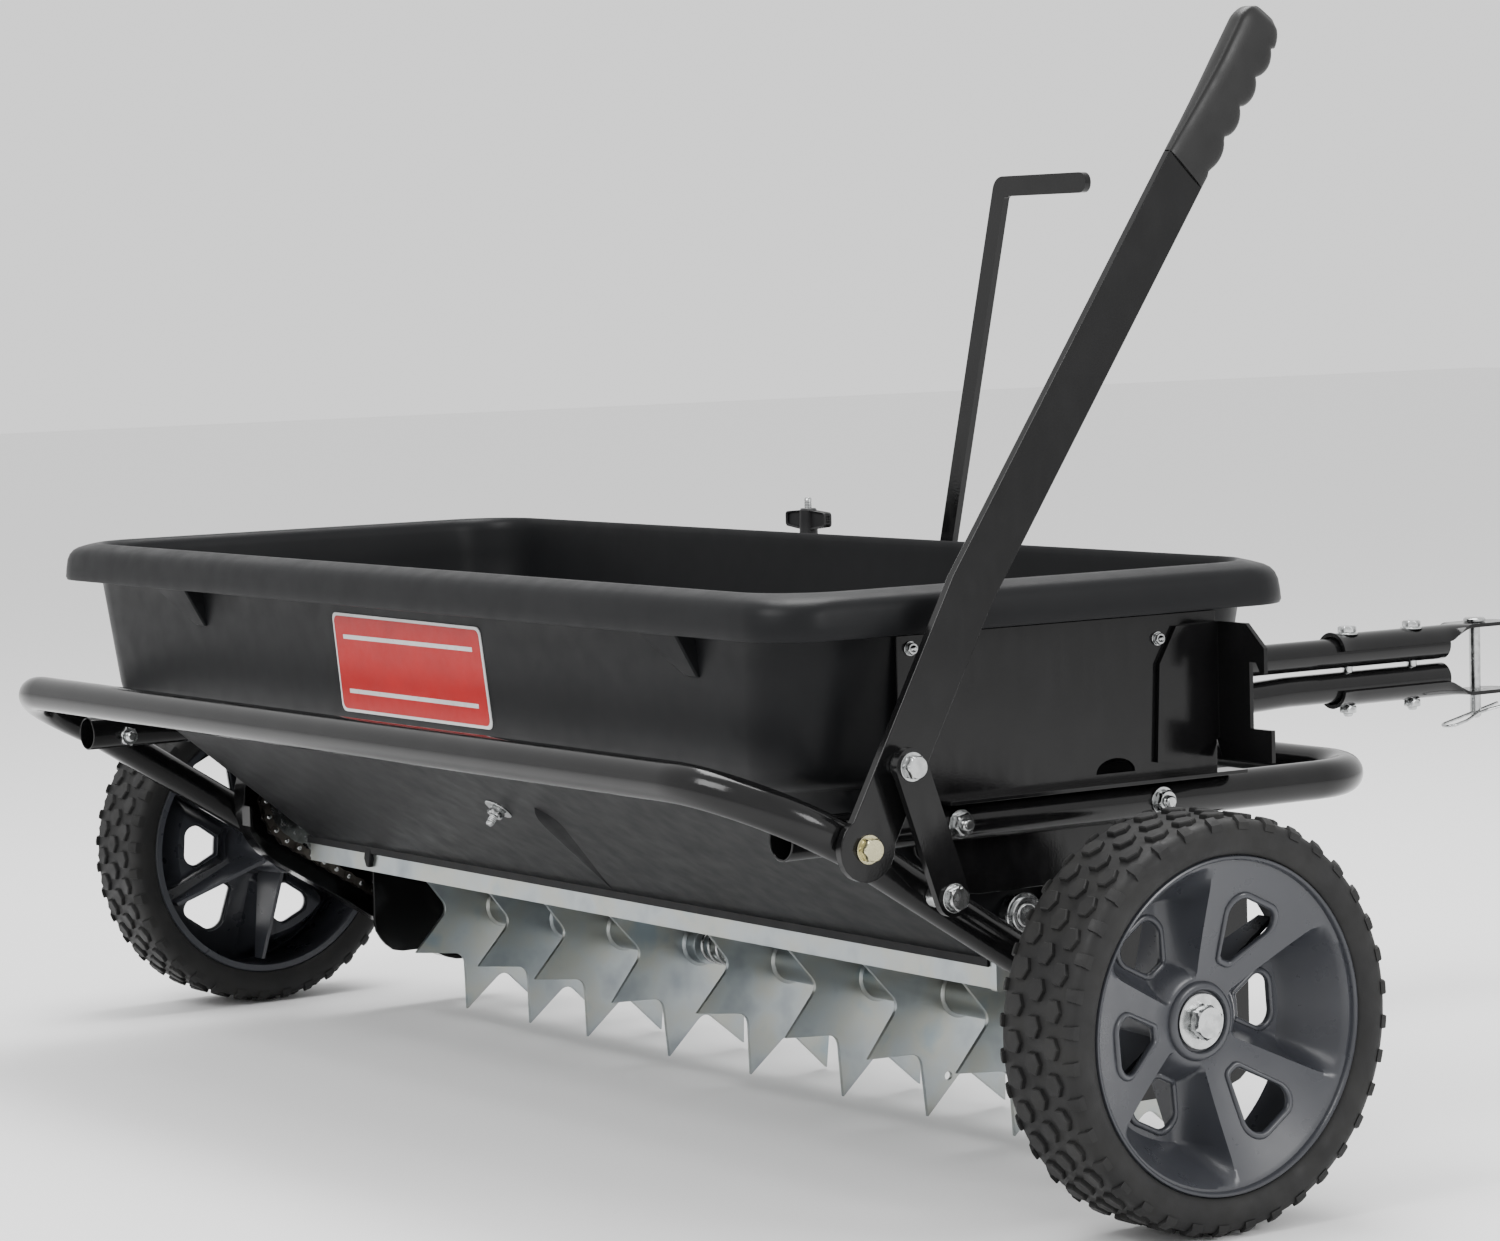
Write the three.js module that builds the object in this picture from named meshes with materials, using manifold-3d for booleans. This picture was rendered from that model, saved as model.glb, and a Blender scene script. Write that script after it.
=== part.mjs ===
// Tow-behind lawn spiker with a drop-spreader hopper. Millimetres, +Z up, +Y towards the hitch.
// The axle line is y = 0 while the pieces are drawn; the finished group is moved so that
// its origin is the middle of its footprint on the ground.
import * as THREE from "three";
import { mergeVertices } from "three/addons/utils/BufferGeometryUtils.js";
import { ConvexGeometry } from "three/addons/geometries/ConvexGeometry.js";
import Module from "manifold-3d";

const wasm = await Module();
wasm.setup();

// Driving dimensions
const GAP = 0.3;
const TUBE_R = 12.7;
const TUBE_WALL = 1.6;
const WHEEL = { radius: 127, x: 595, halfWidth: 35.6, bead: 102.2, barrel: 88.3, z: 127 };
const PIVOT = { y: -181, z: 240 };
const WHEEL_TUBE = { x: 495, rearY: -260, rearZ: 280, bend: 70 };
const FRAME_TUBE = { x: 463, z: 243, rearY: -208, frontY: 275, bend: 60 };
const STARS = { y: 122, z: 83.5, tip: 88, root: 52, points: 8, plate: 3, hub: 15 };
const STAR_X = [-400, -305, -223, -119, -3, 105, 200, 302, 400];
const STAR_TURN = [-25, -25, -24.5, -20.5, -25, -22, -20, -23, -22];
const SPRING_AFTER = 3;
const SHAFT_R = 8;
const AGITATOR = { y: -17, z: 178, paddle: 23 };
const CHAIN = { x: -463, pitch: 12.7, drivenTeeth: 20, driverTeeth: 16, halfWidth: 5, halfHeight: 4 };
const RIM = { x: 487.8, rearY: -223.3, frontY: 188.9, low: 362, top: 390, corner: 38, wall: 3.5 };
const SLOT = { z: 150, rearY: -34, frontY: 0, x: 436 };
const CHANNEL = { x: 436, rearY: -32, frontY: -2, low: 131, top: 149.7, wall: 2 };
const DROP = { count: 12, pitch: 68, radius: 4.5, y: -17, travel: 29.7 };
const SIDE_PLATE = { inner: 447, outer: 450 };
const END_PLATE = { inner: 467, outer: 469.5, rearY: -124, frontY: 128, low: 256.1, top: 360 };
const LEVER = { inner: 508.2, outer: 514.2, width: 34, kinkY: -99, kinkZ: 389, topY: 74.4, topZ: 639.5 };
const LINK = { inner: 522, outer: 527, width: 23, upperY: -157, upperZ: 288, lowerY: -128, lowerZ: 207 };
const BOLT = { radius: 4, flats: 13, head: 5.5 };
const AXLE = { radius: 6.35, flats: 19, head: 8, hubFace: 600, hubBack: 530 };
const ARM = { pivotX: 66, pivotZ: 300, y: 205, width: 14, thick: 5, topX: 161, topZ: 637, handleX: 249 };
const FLOW_BRACKET = { y: 189.2, wall: 3, shelf: 378, frontY: 215 };
const STOP = { x: -71, y: 197, stud: 3 };
const TOW = { radius: 12, wall: 1.5, vY: 500, levelY: 600, frontY: 768, rearX: 196.5, rearY: 232 };
const TOW_Z = { upper: 270, lower: 243 };
const HITCH = { boltY: [667, 736], rearY: 650, pinY: 805.4, width: 16, roundY: 820, sheet: 3 };
const PIN = { radius: 4.5, low: 207.6, clipZ: 212.5, clipRadius: 1.25, clipDroop: 0.21 };
const FOOTPRINT_MIDDLE_Y = 281.6;

// Solids
function solid(geometry) {
  const plain = geometry.clone();
  plain.deleteAttribute("normal");
  plain.deleteAttribute("uv");
  const merged = mergeVertices(plain, 1e-4);
  return new wasm.Manifold(new wasm.Mesh({
    numProp: 3,
    vertProperties: new Float32Array(merged.attributes.position.array),
    triVerts: new Uint32Array(merged.index.array),
  }));
}

function geometryOf(body) {
  const mesh = body.getMesh();
  const geometry = new THREE.BufferGeometry();
  geometry.setAttribute("position", new THREE.BufferAttribute(new Float32Array(mesh.vertProperties), 3));
  geometry.setIndex(new THREE.BufferAttribute(new Uint32Array(mesh.triVerts), 1));
  geometry.computeVertexNormals();
  return geometry;
}

function join(bodies) {
  return bodies.reduce((whole, body) => whole.add(body));
}

function cut(body, cutters) {
  return cutters.reduce((rest, cutter) => rest.subtract(cutter), body);
}

function box(x, y, z) {
  const geometry = new THREE.BoxGeometry(x[1] - x[0], y[1] - y[0], z[1] - z[0]);
  geometry.translate((x[0] + x[1]) / 2, (y[0] + y[1]) / 2, (z[0] + z[1]) / 2);
  return solid(geometry);
}

// A straight rod along an axis; at holds its two other coordinates in x, y, z order.
function rod(axis, radius, span, at, sides = 14) {
  const low = Math.min(...span);
  const high = Math.max(...span);
  const geometry = new THREE.CylinderGeometry(radius, radius, high - low, sides);
  const middle = (low + high) / 2;
  if (axis === "x") {
    geometry.rotateZ(-Math.PI / 2);
    geometry.translate(middle, at[0], at[1]);
  } else if (axis === "y") {
    geometry.translate(at[0], middle, at[1]);
  } else {
    geometry.rotateX(Math.PI / 2);
    geometry.translate(at[0], at[1], middle);
  }
  return solid(geometry);
}

function hexagon(axis, flats, span, at) {
  return rod(axis, flats / Math.sqrt(3), span, at, 6);
}

// A sheet across an axis. The shape's two coordinates are the next two axes in x, y, z, x order.
function sheet(axis, shape, span, curveSegments = 4) {
  const low = Math.min(...span);
  const depth = Math.abs(span[1] - span[0]);
  const geometry = new THREE.ExtrudeGeometry(shape, { depth, bevelEnabled: false, curveSegments });
  const [x, y, z] = [new THREE.Vector3(1, 0, 0), new THREE.Vector3(0, 1, 0), new THREE.Vector3(0, 0, 1)];
  const turned = { x: [y, z, x], y: [z, x, y], z: [x, y, z] }[axis];
  geometry.applyMatrix4(new THREE.Matrix4().makeBasis(...turned));
  geometry.translate(...turned[2].clone().multiplyScalar(low).toArray());
  return solid(geometry);
}

// A closed outline with the same rounding at every corner.
function outline(points, rounding = 0) {
  const corners = points.map(([u, v]) => new THREE.Vector2(u, v));
  const shape = new THREE.Shape();
  if (rounding === 0) {
    shape.setFromPoints(corners);
    return shape;
  }
  corners.forEach((corner, i) => {
    const before = corners[(i + corners.length - 1) % corners.length];
    const after = corners[(i + 1) % corners.length];
    const reach = Math.min(rounding, corner.distanceTo(before) / 2.1, corner.distanceTo(after) / 2.1);
    const start = corner.clone().lerp(before, reach / corner.distanceTo(before));
    const end = corner.clone().lerp(after, reach / corner.distanceTo(after));
    if (i === 0) shape.moveTo(start.x, start.y);
    else shape.lineTo(start.x, start.y);
    shape.quadraticCurveTo(corner.x, corner.y, end.x, end.y);
  });
  shape.closePath();
  return shape;
}

// The outline of a strip of constant width along a line of points, with square ends.
function strip(points, width) {
  const line = points.map(([u, v]) => new THREE.Vector2(u, v));
  const left = [];
  const right = [];
  line.forEach((point, i) => {
    const back = line[Math.max(i - 1, 0)];
    const ahead = line[Math.min(i + 1, line.length - 1)];
    const into = point.clone().sub(back).normalize();
    const out = ahead.clone().sub(point).normalize();
    const along = into.clone().add(out).normalize();
    const half = width / 2 / (i === 0 || i === line.length - 1 ? 1 : along.dot(out));
    left.push([point.x - along.y * half, point.y + along.x * half]);
    right.push([point.x + along.y * half, point.y - along.x * half]);
  });
  return outline([...left, ...right.reverse()]);
}

// The outline round two circles and their outer tangents.
function belt(first, firstRadius, second, secondRadius) {
  const run = new THREE.Vector2(second[0] - first[0], second[1] - first[1]);
  const toward = run.angle();
  const spread = Math.acos((firstRadius - secondRadius) / run.length());
  const shape = new THREE.Shape();
  shape.absarc(first[0], first[1], firstRadius, toward + spread, toward - spread + 2 * Math.PI, false);
  shape.absarc(second[0], second[1], secondRadius, toward - spread, toward + spread, false);
  shape.closePath();
  return shape;
}

// A path that keeps exactly the points it is given, so a swept tube has rings only where it bends.
class Route extends THREE.Curve {
  constructor(points) {
    super();
    this.points = points;
  }

  getPointAt(u) {
    return this.points[Math.round(u * (this.points.length - 1))].clone();
  }

  getTangentAt(u) {
    const i = Math.round(u * (this.points.length - 1));
    const back = this.points[Math.max(i - 1, 0)];
    const ahead = this.points[Math.min(i + 1, this.points.length - 1)];
    const into = this.points[i].clone().sub(back).normalize();
    return into.add(ahead.clone().sub(this.points[i]).normalize()).normalize();
  }
}

// Straight runs between corners, with every inner corner rounded to the bend radius.
function bentRoute(corners, bend, stepsPerBend) {
  const points = corners.map((corner) => new THREE.Vector3(...corner));
  const route = [points[0]];
  for (let i = 1; i < points.length - 1; i += 1) {
    const back = points[i - 1].clone().sub(points[i]).normalize();
    const ahead = points[i + 1].clone().sub(points[i]).normalize();
    const half = back.angleTo(ahead) / 2;
    const centre = back.clone().add(ahead).normalize().multiplyScalar(bend / Math.sin(half)).add(points[i]);
    const start = back.clone().multiplyScalar(bend / Math.tan(half)).add(points[i]).sub(centre);
    const axis = back.clone().cross(start).normalize();
    const sweep = Math.PI - 2 * half;
    for (let step = 0; step <= stepsPerBend; step += 1) {
      route.push(start.clone().applyAxisAngle(axis, (sweep * step) / stepsPerBend).add(centre));
    }
  }
  route.push(points[points.length - 1]);
  return new Route(route);
}

function sweep(shape, route) {
  return solid(new THREE.ExtrudeGeometry(shape, {
    steps: route.points.length - 1,
    extrudePath: route,
    curveSegments: 5,
  }));
}

function circle(radius, boreRadius = 0) {
  const shape = new THREE.Shape();
  shape.absarc(0, 0, radius, 0, 2 * Math.PI, false);
  if (boreRadius > 0) {
    const bore = new THREE.Path();
    bore.absarc(0, 0, boreRadius, 0, 2 * Math.PI, true);
    shape.holes.push(bore);
  }
  return shape;
}

function tube(corners, radius, wall, bend, stepsPerBend) {
  return sweep(circle(radius, radius - wall), bentRoute(corners, bend, stepsPerBend));
}

// A ring turned about the x axis from a closed profile of [x, radius] corners.
function turned(profile, segments) {
  const points = profile.map(([x, radius]) => new THREE.Vector2(radius, x));
  const geometry = new THREE.LatheGeometry([...points, points[0].clone()], segments);
  geometry.rotateZ(-Math.PI / 2);
  return solid(geometry);
}

// One level of a moulded tub: a rounded rectangle in plan.
function level(z, x, rearY, frontY, corner) {
  const steps = 4;
  const points = [];
  const centres = [
    [x - corner, frontY - corner],
    [corner - x, frontY - corner],
    [corner - x, rearY + corner],
    [x - corner, rearY + corner],
  ];
  centres.forEach(([cx, cy], quarter) => {
    for (let i = 0; i <= steps; i += 1) {
      const angle = (quarter + i / steps) * (Math.PI / 2);
      points.push(new THREE.Vector3(cx + corner * Math.cos(angle), cy + corner * Math.sin(angle), z));
    }
  });
  return points;
}

function tub(levels) {
  return solid(new ConvexGeometry(levels.map((row) => level(...row)).flat()));
}

function boltAlongX(side, from, to, y, z, { radius, flats, head }, nut) {
  const pieces = [
    rod("x", radius, [side * from, side * to], [y, z], 12),
    hexagon("x", flats, [side * to, side * (to + head)], [y, z]),
  ];
  if (nut) pieces.push(hexagon("x", flats, [side * (from - head), side * from], [y, z]));
  return join(pieces);
}

function boltAlongZ(x, y, low, high) {
  return join([
    rod("z", BOLT.radius, [low - BOLT.head, high], [x, y], 12),
    hexagon("z", BOLT.flats, [high, high + BOLT.head], [x, y]),
    hexagon("z", BOLT.flats, [low - BOLT.head, low], [x, y]),
  ]);
}

// Named meshes
const machine = new THREE.Group();

function material(color, roughness, metalness) {
  return { color, roughness, metalness };
}

const HOPPER_PLASTIC = material(0x2b2d30, 0.75, 0);
const WHEEL_PLASTIC = material(0x3a4149, 0.6, 0);
const RUBBER = material(0x17181a, 0.9, 0);
const GRIP_PLASTIC = material(0x1b1b1c, 0.6, 0);
const BLACK_PAINT = material(0x0e0e10, 0.3, 0.2);
const GALVANISED = material(0xb9bcbc, 0.45, 0.9);
const ZINC = material(0xc9c6b6, 0.35, 0.95);
const CHAIN_STEEL = material(0x3d3a36, 0.5, 0.8);
const KNOB_PLASTIC = material(0x141415, 0.5, 0);

function piece(name, body, finish, parent = machine) {
  const mesh = new THREE.Mesh(geometryOf(body), new THREE.MeshStandardMaterial(finish));
  mesh.name = name;
  parent.add(mesh);
  return mesh;
}

const SIDES = [["left", -1], ["right", 1]];
const HOLE_R = BOLT.radius + GAP;

// Hopper
function hopper() {
  const shell = join([
    tub([
      [RIM.top, 466.6, -205.5, 174, 45],
      [RIM.low, 466.6, -205.5, 174, 45],
      [278, 457.6, -196.5, 163, 45],
      [266, 451.5, -189.5, 156, 46],
    ]),
    tub([
      [270, 444, -190.5, 157, 46],
      [SLOT.z, SLOT.x, SLOT.rearY, SLOT.frontY, 10],
    ]),
  ]);
  const rimLevel = (z, inset) => [
    z, RIM.x - inset, RIM.rearY + inset, RIM.frontY - inset, RIM.corner - inset,
  ];
  const rim = tub([
    rimLevel(RIM.low, 0),
    rimLevel(RIM.top - 12, 0.5),
    rimLevel(RIM.top - 4, 5),
    rimLevel(RIM.top, 15),
  ]);
  const underRim = tub([
    rimLevel(RIM.low - 5, RIM.wall),
    rimLevel(RIM.top - 13, RIM.wall),
    rimLevel(RIM.top - 7.5, 8.5),
  ]);
  const cavity = join([
    tub([
      [RIM.top + 1, 463.6, -202.5, 171, 42],
      [RIM.low, 463.6, -202.5, 171, 42],
      [278, 454.6, -193.5, 160, 42],
      [268.5, 448.5, -186.5, 153, 43],
    ]),
    tub([
      [272, 441, -188.2, 154.7, 43],
      [SLOT.z - 1, SLOT.x - 3, -28.3, -5.7, 7],
    ]),
  ]);
  const gusset = outline([[-201, 334], [-203, 370], [-220, 370]]);
  const gussets = [[-318, -270], [330, 373]].map((span) => sheet("x", gusset, span));
  const walls = join([rim.subtract(underRim), shell, ...gussets]).subtract(cavity);
  const shaftHole = rod("x", SHAFT_R + 0.6, [-460, 460], [AGITATOR.y, AGITATOR.z]);
  return walls.subtract(shaftHole);
}

piece("hopper", hopper(), HOPPER_PLASTIC);

// Metering channel under the hopper slot, and the plate that slides in it
function dropHoles(offset, z) {
  const first = -((DROP.count - 1) * DROP.pitch) / 2;
  return Array.from({ length: DROP.count }, (_, i) => (
    rod("z", DROP.radius, z, [first + i * DROP.pitch + offset, DROP.y], 8)
  ));
}

function bottomPlate() {
  const { x, rearY, frontY, low, top, wall } = CHANNEL;
  const block = box([-x, x], [rearY, frontY], [low, top]);
  const trough = box([-x - 1, x + 1], [rearY + wall, frontY - wall], [low + wall, top + 1]);
  const tongueWindow = box([35, 130], [frontY - wall - 1, frontY + 1], [low + wall, low + wall + 5]);
  return cut(block, [trough, tongueWindow, ...dropHoles(0, [low - 1, low + wall + 1])]);
}

piece("bottom_plate", bottomPlate(), GALVANISED);

function closurePlate() {
  const z = [CHANNEL.low + CHANNEL.wall + 0.4, CHANNEL.low + CHANNEL.wall + 2.4];
  const y = [CHANNEL.rearY + CHANNEL.wall + 0.4, CHANNEL.frontY - CHANNEL.wall - 0.4];
  const blade = box([-CHANNEL.x + 3, CHANNEL.x - DROP.travel - 3], y, z);
  const tongue = box([40, 92], [y[0], 33], z);
  const tab = box([40, 92], [30, 33], [z[0], 172]);
  const fork = box([57.7, 74.3], [29, 34], [150, 173]);
  return cut(join([blade, tongue, tab]), [fork, ...dropHoles(-DROP.travel, [z[0] - 1, z[1] + 1])]);
}

piece("closure_plate", closurePlate(), GALVANISED);

// Main frame: a tube round the front and both sides of the hopper
function frameTube() {
  const { x, z, rearY, frontY, bend } = FRAME_TUBE;
  const corners = [[-x, rearY, z], [-x, frontY, z], [x, frontY, z], [x, rearY, z]];
  const pivotHole = rod("x", HOLE_R, [-x - 20, x + 20], [PIVOT.y, PIVOT.z], 12);
  const towHoles = [-1, 1].map((side) => rod("z", HOLE_R, [z - 20, z + 20], [side * 165, frontY], 12));
  return cut(tube(corners, TUBE_R, TUBE_WALL, bend, 5), [pivotHole, ...towHoles]);
}

piece("frame_tube", frameTube(), BLACK_PAINT);

// Wheel frame: a tube round the back, pivoted on the main frame and carrying the wheels
function wheelFrameTube() {
  const { x, rearY, rearZ, bend } = WHEEL_TUBE;
  const end = [14, WHEEL.z - 8.7];
  const corners = [
    [-x, ...end],
    [-x, PIVOT.y, PIVOT.z],
    [-x, rearY, rearZ],
    [x, rearY, rearZ],
    [x, PIVOT.y, PIVOT.z],
    [x, ...end],
  ];
  const route = bentRoute(corners.slice(1, 5), bend, 5).points;
  const points = [new THREE.Vector3(...corners[0]), ...route, new THREE.Vector3(...corners[5])];
  const body = sweep(circle(TUBE_R, TUBE_R - TUBE_WALL), new Route(points));
  const pivotHole = rod("x", HOLE_R, [-x - 20, x + 20], [PIVOT.y, PIVOT.z], 12);
  const axleHole = rod("x", AXLE.radius + GAP, [-x - 20, x + 20], [0, WHEEL.z], 12);
  const linkHole = rod("x", HOLE_R, [x - 20, x + 20], [LINK.lowerY, LINK.lowerZ], 12);
  return cut(body, [pivotHole, axleHole, linkHole]);
}

piece("wheel_frame_tube", wheelFrameTube(), BLACK_PAINT);

// Side plates between the frame tube and the star shaft
function sidePlate(side) {
  const shape = outline([
    [-100, 255],
    [100, 255],
    [168, 200],
    [168, 56],
    [150, 48],
    [46, 48],
    [30, 66],
    [30, 150],
    [8, 194],
    [-60, 194],
    [-100, 222],
  ], 9);
  const plate = sheet("x", shape, [side * SIDE_PLATE.inner, side * SIDE_PLATE.outer], 2);
  return plate.subtract(rod("x", 11 + GAP, [side * 440, side * 460], [STARS.y, STARS.z]));
}

// Plates that hold the ends of the hopper on the frame tube
function endPlate(side) {
  const { inner, outer, rearY, frontY, low, top } = END_PLATE;
  const shape = outline([[rearY, low], [frontY, low], [frontY, top], [rearY, top]]);
  const halfMoon = new THREE.Path();
  halfMoon.absellipse(44.5, 263, 15.5, 9, 0, Math.PI, false);
  shape.holes.push(halfMoon);
  const upright = sheet("x", shape, [side * inner, side * outer], 6);
  const xs = [side * inner, side * 486].sort((a, b) => a - b);
  return upright.add(box(xs, [-98, 139], [low, low + 2.5]));
}

SIDES.forEach(([name, side]) => {
  piece(`side_plate_${name}`, sidePlate(side), BLACK_PAINT);
  piece(`hopper_plate_${name}`, endPlate(side), BLACK_PAINT);
});

// Latch that the lift lever hooks into for transport
function latchBracket() {
  const face = END_PLATE.outer + GAP;
  const flange = sheet("x", outline([
    [93, 352],
    [79, 329],
    [76, 267],
    [97, 265],
    [130, 280],
    [130, 353],
  ]), [face, face + 3]);
  const hook = sheet("y", outline([
    [353, face],
    [353, 500],
    [338, 517],
    [322, 517],
    [322, 513],
    [328.7, 509],
    [328.7, 503],
    [286.5, 503],
    [286.5, 523],
    [266, 523],
    [266, 476],
    [280, face],
  ]), [127, 130]);
  return flange.add(hook);
}

piece("latch_bracket", latchBracket(), BLACK_PAINT);

// Lift lever, its grip and the link that ties it to the wheel frame
const leverLine = [[PIVOT.y, PIVOT.z], [LEVER.kinkY, LEVER.kinkZ], [LEVER.topY, LEVER.topZ]];
const leverRise = new THREE.Vector2(LEVER.topY - LEVER.kinkY, LEVER.topZ - LEVER.kinkZ).normalize();

function alongLever(distance, across) {
  return [
    LEVER.topY + leverRise.x * distance + leverRise.y * across,
    LEVER.topZ + leverRise.y * distance - leverRise.x * across,
  ];
}

function liftLever() {
  const span = [LEVER.inner, LEVER.outer];
  const bar = sheet("x", strip(leverLine, LEVER.width), span);
  const foot = rod("x", 20, span, [PIVOT.y, PIVOT.z], 20);
  const tang = sheet("x", outline([
    alongLever(-2, -9),
    alongLever(60, -9),
    alongLever(60, 9),
    alongLever(-2, 9),
  ]), span);
  const holes = [[PIVOT.y, PIVOT.z], [LINK.upperY, LINK.upperZ]].map((at) => (
    rod("x", HOLE_R, [LEVER.inner - 2, LEVER.outer + 2], at, 12)
  ));
  return cut(join([bar, foot, tang]), holes);
}

function leverGrip() {
  const middle = (LEVER.inner + LEVER.outer) / 2;
  const bumps = [4, 30, 56, 82];
  const front = bumps.flatMap((start) => [alongLever(start, 15), alongLever(start + 13, 19.5)]);
  const shape = outline([
    alongLever(GAP, -17.5),
    alongLever(GAP, 15),
    ...front,
    alongLever(108, 12),
    alongLever(112, -8),
    alongLever(104, -17.5),
  ], 8);
  const body = sheet("x", shape, [middle - 11, middle + 11], 3);
  const pocket = sheet("x", outline([
    alongLever(-3, -9.5),
    alongLever(61, -9.5),
    alongLever(61, 9.5),
    alongLever(-3, 9.5),
  ]), [LEVER.inner - GAP, LEVER.outer + GAP]);
  return body.subtract(pocket);
}

function leverLink() {
  const span = [LINK.inner, LINK.outer];
  const ends = [[LINK.upperY, LINK.upperZ], [LINK.lowerY, LINK.lowerZ]];
  const bar = sheet("x", strip(ends, LINK.width), span);
  const rounds = ends.map((at) => rod("x", LINK.width / 2, span, at, 20));
  const holes = ends.map((at) => rod("x", HOLE_R, [LINK.inner - 2, LINK.outer + 2], at, 12));
  return cut(join([bar, ...rounds]), holes);
}

function spacer(from, to, radius, bore, y, z) {
  return rod("x", radius, [from, to], [y, z], 16).subtract(rod("x", bore, [from - 1, to + 1], [y, z], 12));
}

piece("lift_lever", liftLever(), BLACK_PAINT);
piece("lever_grip", leverGrip(), GRIP_PLASTIC);
piece("lever_link", leverLink(), BLACK_PAINT);
piece("link_spacer_upper",
  spacer(LEVER.outer + GAP, LINK.inner - GAP, 7.5, HOLE_R, LINK.upperY, LINK.upperZ), ZINC);
piece("link_spacer_lower",
  spacer(WHEEL_TUBE.x + TUBE_R + GAP, LINK.inner - GAP, 7.5, HOLE_R, LINK.lowerY, LINK.lowerZ), ZINC);
piece("link_bolt_upper",
  boltAlongX(1, LEVER.inner - GAP, LINK.outer + GAP, LINK.upperY, LINK.upperZ, BOLT, true), ZINC);
piece("link_bolt_lower",
  boltAlongX(1, WHEEL_TUBE.x - TUBE_R - GAP, LINK.outer + GAP, LINK.lowerY, LINK.lowerZ, BOLT, true), ZINC);

// Pivot bolts, each with a washer between the two tubes
function pivotBolt(side) {
  const outside = side > 0 ? LEVER.outer : WHEEL_TUBE.x + TUBE_R;
  const inside = FRAME_TUBE.x - TUBE_R;
  const washer = [inside + 2 * TUBE_R + GAP, WHEEL_TUBE.x - TUBE_R - GAP].map((x) => side * x);
  const bolt = boltAlongX(side, inside - GAP, outside + GAP, PIVOT.y, PIVOT.z, BOLT, true);
  return bolt.add(rod("x", 9, washer, [PIVOT.y, PIVOT.z]));
}

SIDES.forEach(([name, side]) => {
  piece(`pivot_bolt_${name}`, pivotBolt(side), ZINC);
});

// Wheels
function tyre() {
  const half = WHEEL.halfWidth;
  const seat = 27.7;
  return turned([
    [-seat, WHEEL.barrel + GAP],
    [-seat, WHEEL.bead + 0.4],
    [-33, WHEEL.bead + 0.4],
    [-half, 113],
    [-34, 122],
    [-29, WHEEL.radius],
    [29, WHEEL.radius],
    [34, 122],
    [half, 113],
    [33, WHEEL.bead + 0.4],
    [seat, WHEEL.bead + 0.4],
    [seat, WHEEL.barrel + GAP],
  ], 40);
}

// Hub, deep web with six windows, three outer spokes and the rim
function wheel() {
  const rim = turned([
    [-31, 84],
    [-31, WHEEL.bead],
    [-28, WHEEL.bead],
    [-28, WHEEL.barrel],
    [28, WHEEL.barrel],
    [28, WHEEL.bead],
    [31, WHEEL.bead],
    [31, 84],
  ], 32);
  const windows = Array.from({ length: 6 }, (_, i) => {
    const angle = (i * 60 * Math.PI) / 180;
    const at = (radius, turn) => [
      radius * Math.cos(angle + turn),
      radius * Math.sin(angle + turn),
    ];
    return sheet("x", outline([at(34, 0), at(74, -0.33), at(74, 0.33)], 9), [-20, 20], 2);
  });
  const web = cut(rod("x", 85, [-12, -5], [0, 0], 32), windows);
  const spokes = [60, 180, 300].map((degrees) => {
    const angle = (degrees * Math.PI) / 180 + Math.PI / 6;
    const line = [20, 85].map((radius) => [radius * Math.cos(angle), radius * Math.sin(angle)]);
    return sheet("x", strip(line, 22), [-12, 8]);
  });
  const hub = rod("x", 24, [AXLE.hubBack - WHEEL.x, AXLE.hubFace - WHEEL.x], [0, 0], 20);
  const bore = rod("x", AXLE.radius + GAP, [-80, 80], [0, 0], 12);
  return join([rim, web, hub, ...spokes]).subtract(bore);
}

SIDES.forEach(([name, side]) => {
  const corner = new THREE.Group();
  corner.position.set(side * WHEEL.x, 0, WHEEL.z);
  corner.rotation.z = side > 0 ? 0 : Math.PI;
  machine.add(corner);
  piece(`tyre_${name}`, tyre(), RUBBER, corner);
  piece(`wheel_${name}`, wheel(), WHEEL_PLASTIC, corner);
  const inside = WHEEL_TUBE.x - TUBE_R + 4;
  piece(`axle_bolt_${name}`, boltAlongX(side, inside, AXLE.hubFace + GAP, 0, WHEEL.z, AXLE, false), ZINC);
  const ends = [WHEEL_TUBE.x + TUBE_R + GAP, AXLE.hubBack - GAP].map((x) => side * x);
  const tubeSpacer = spacer(Math.min(...ends), Math.max(...ends), 11, AXLE.radius + GAP, 0, WHEEL.z);
  piece(`axle_spacer_${name}`, tubeSpacer, ZINC);
});

// Star shaft, stars and spring
const starEnd = { left: -470, right: 456 };
piece("star_shaft", rod("x", SHAFT_R, [starEnd.left, starEnd.right], [STARS.y, STARS.z]), GALVANISED);

// Hubs run from just before one star to just before the next, except across the spring.
function hubSpan(index) {
  const reach = 14;
  const from = STAR_X[index] - reach;
  const last = index === STAR_X.length - 1 || index === SPRING_AFTER;
  const to = last ? STAR_X[index] + reach : STAR_X[index + 1] - reach - 0.5;
  return [from, to];
}

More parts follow.
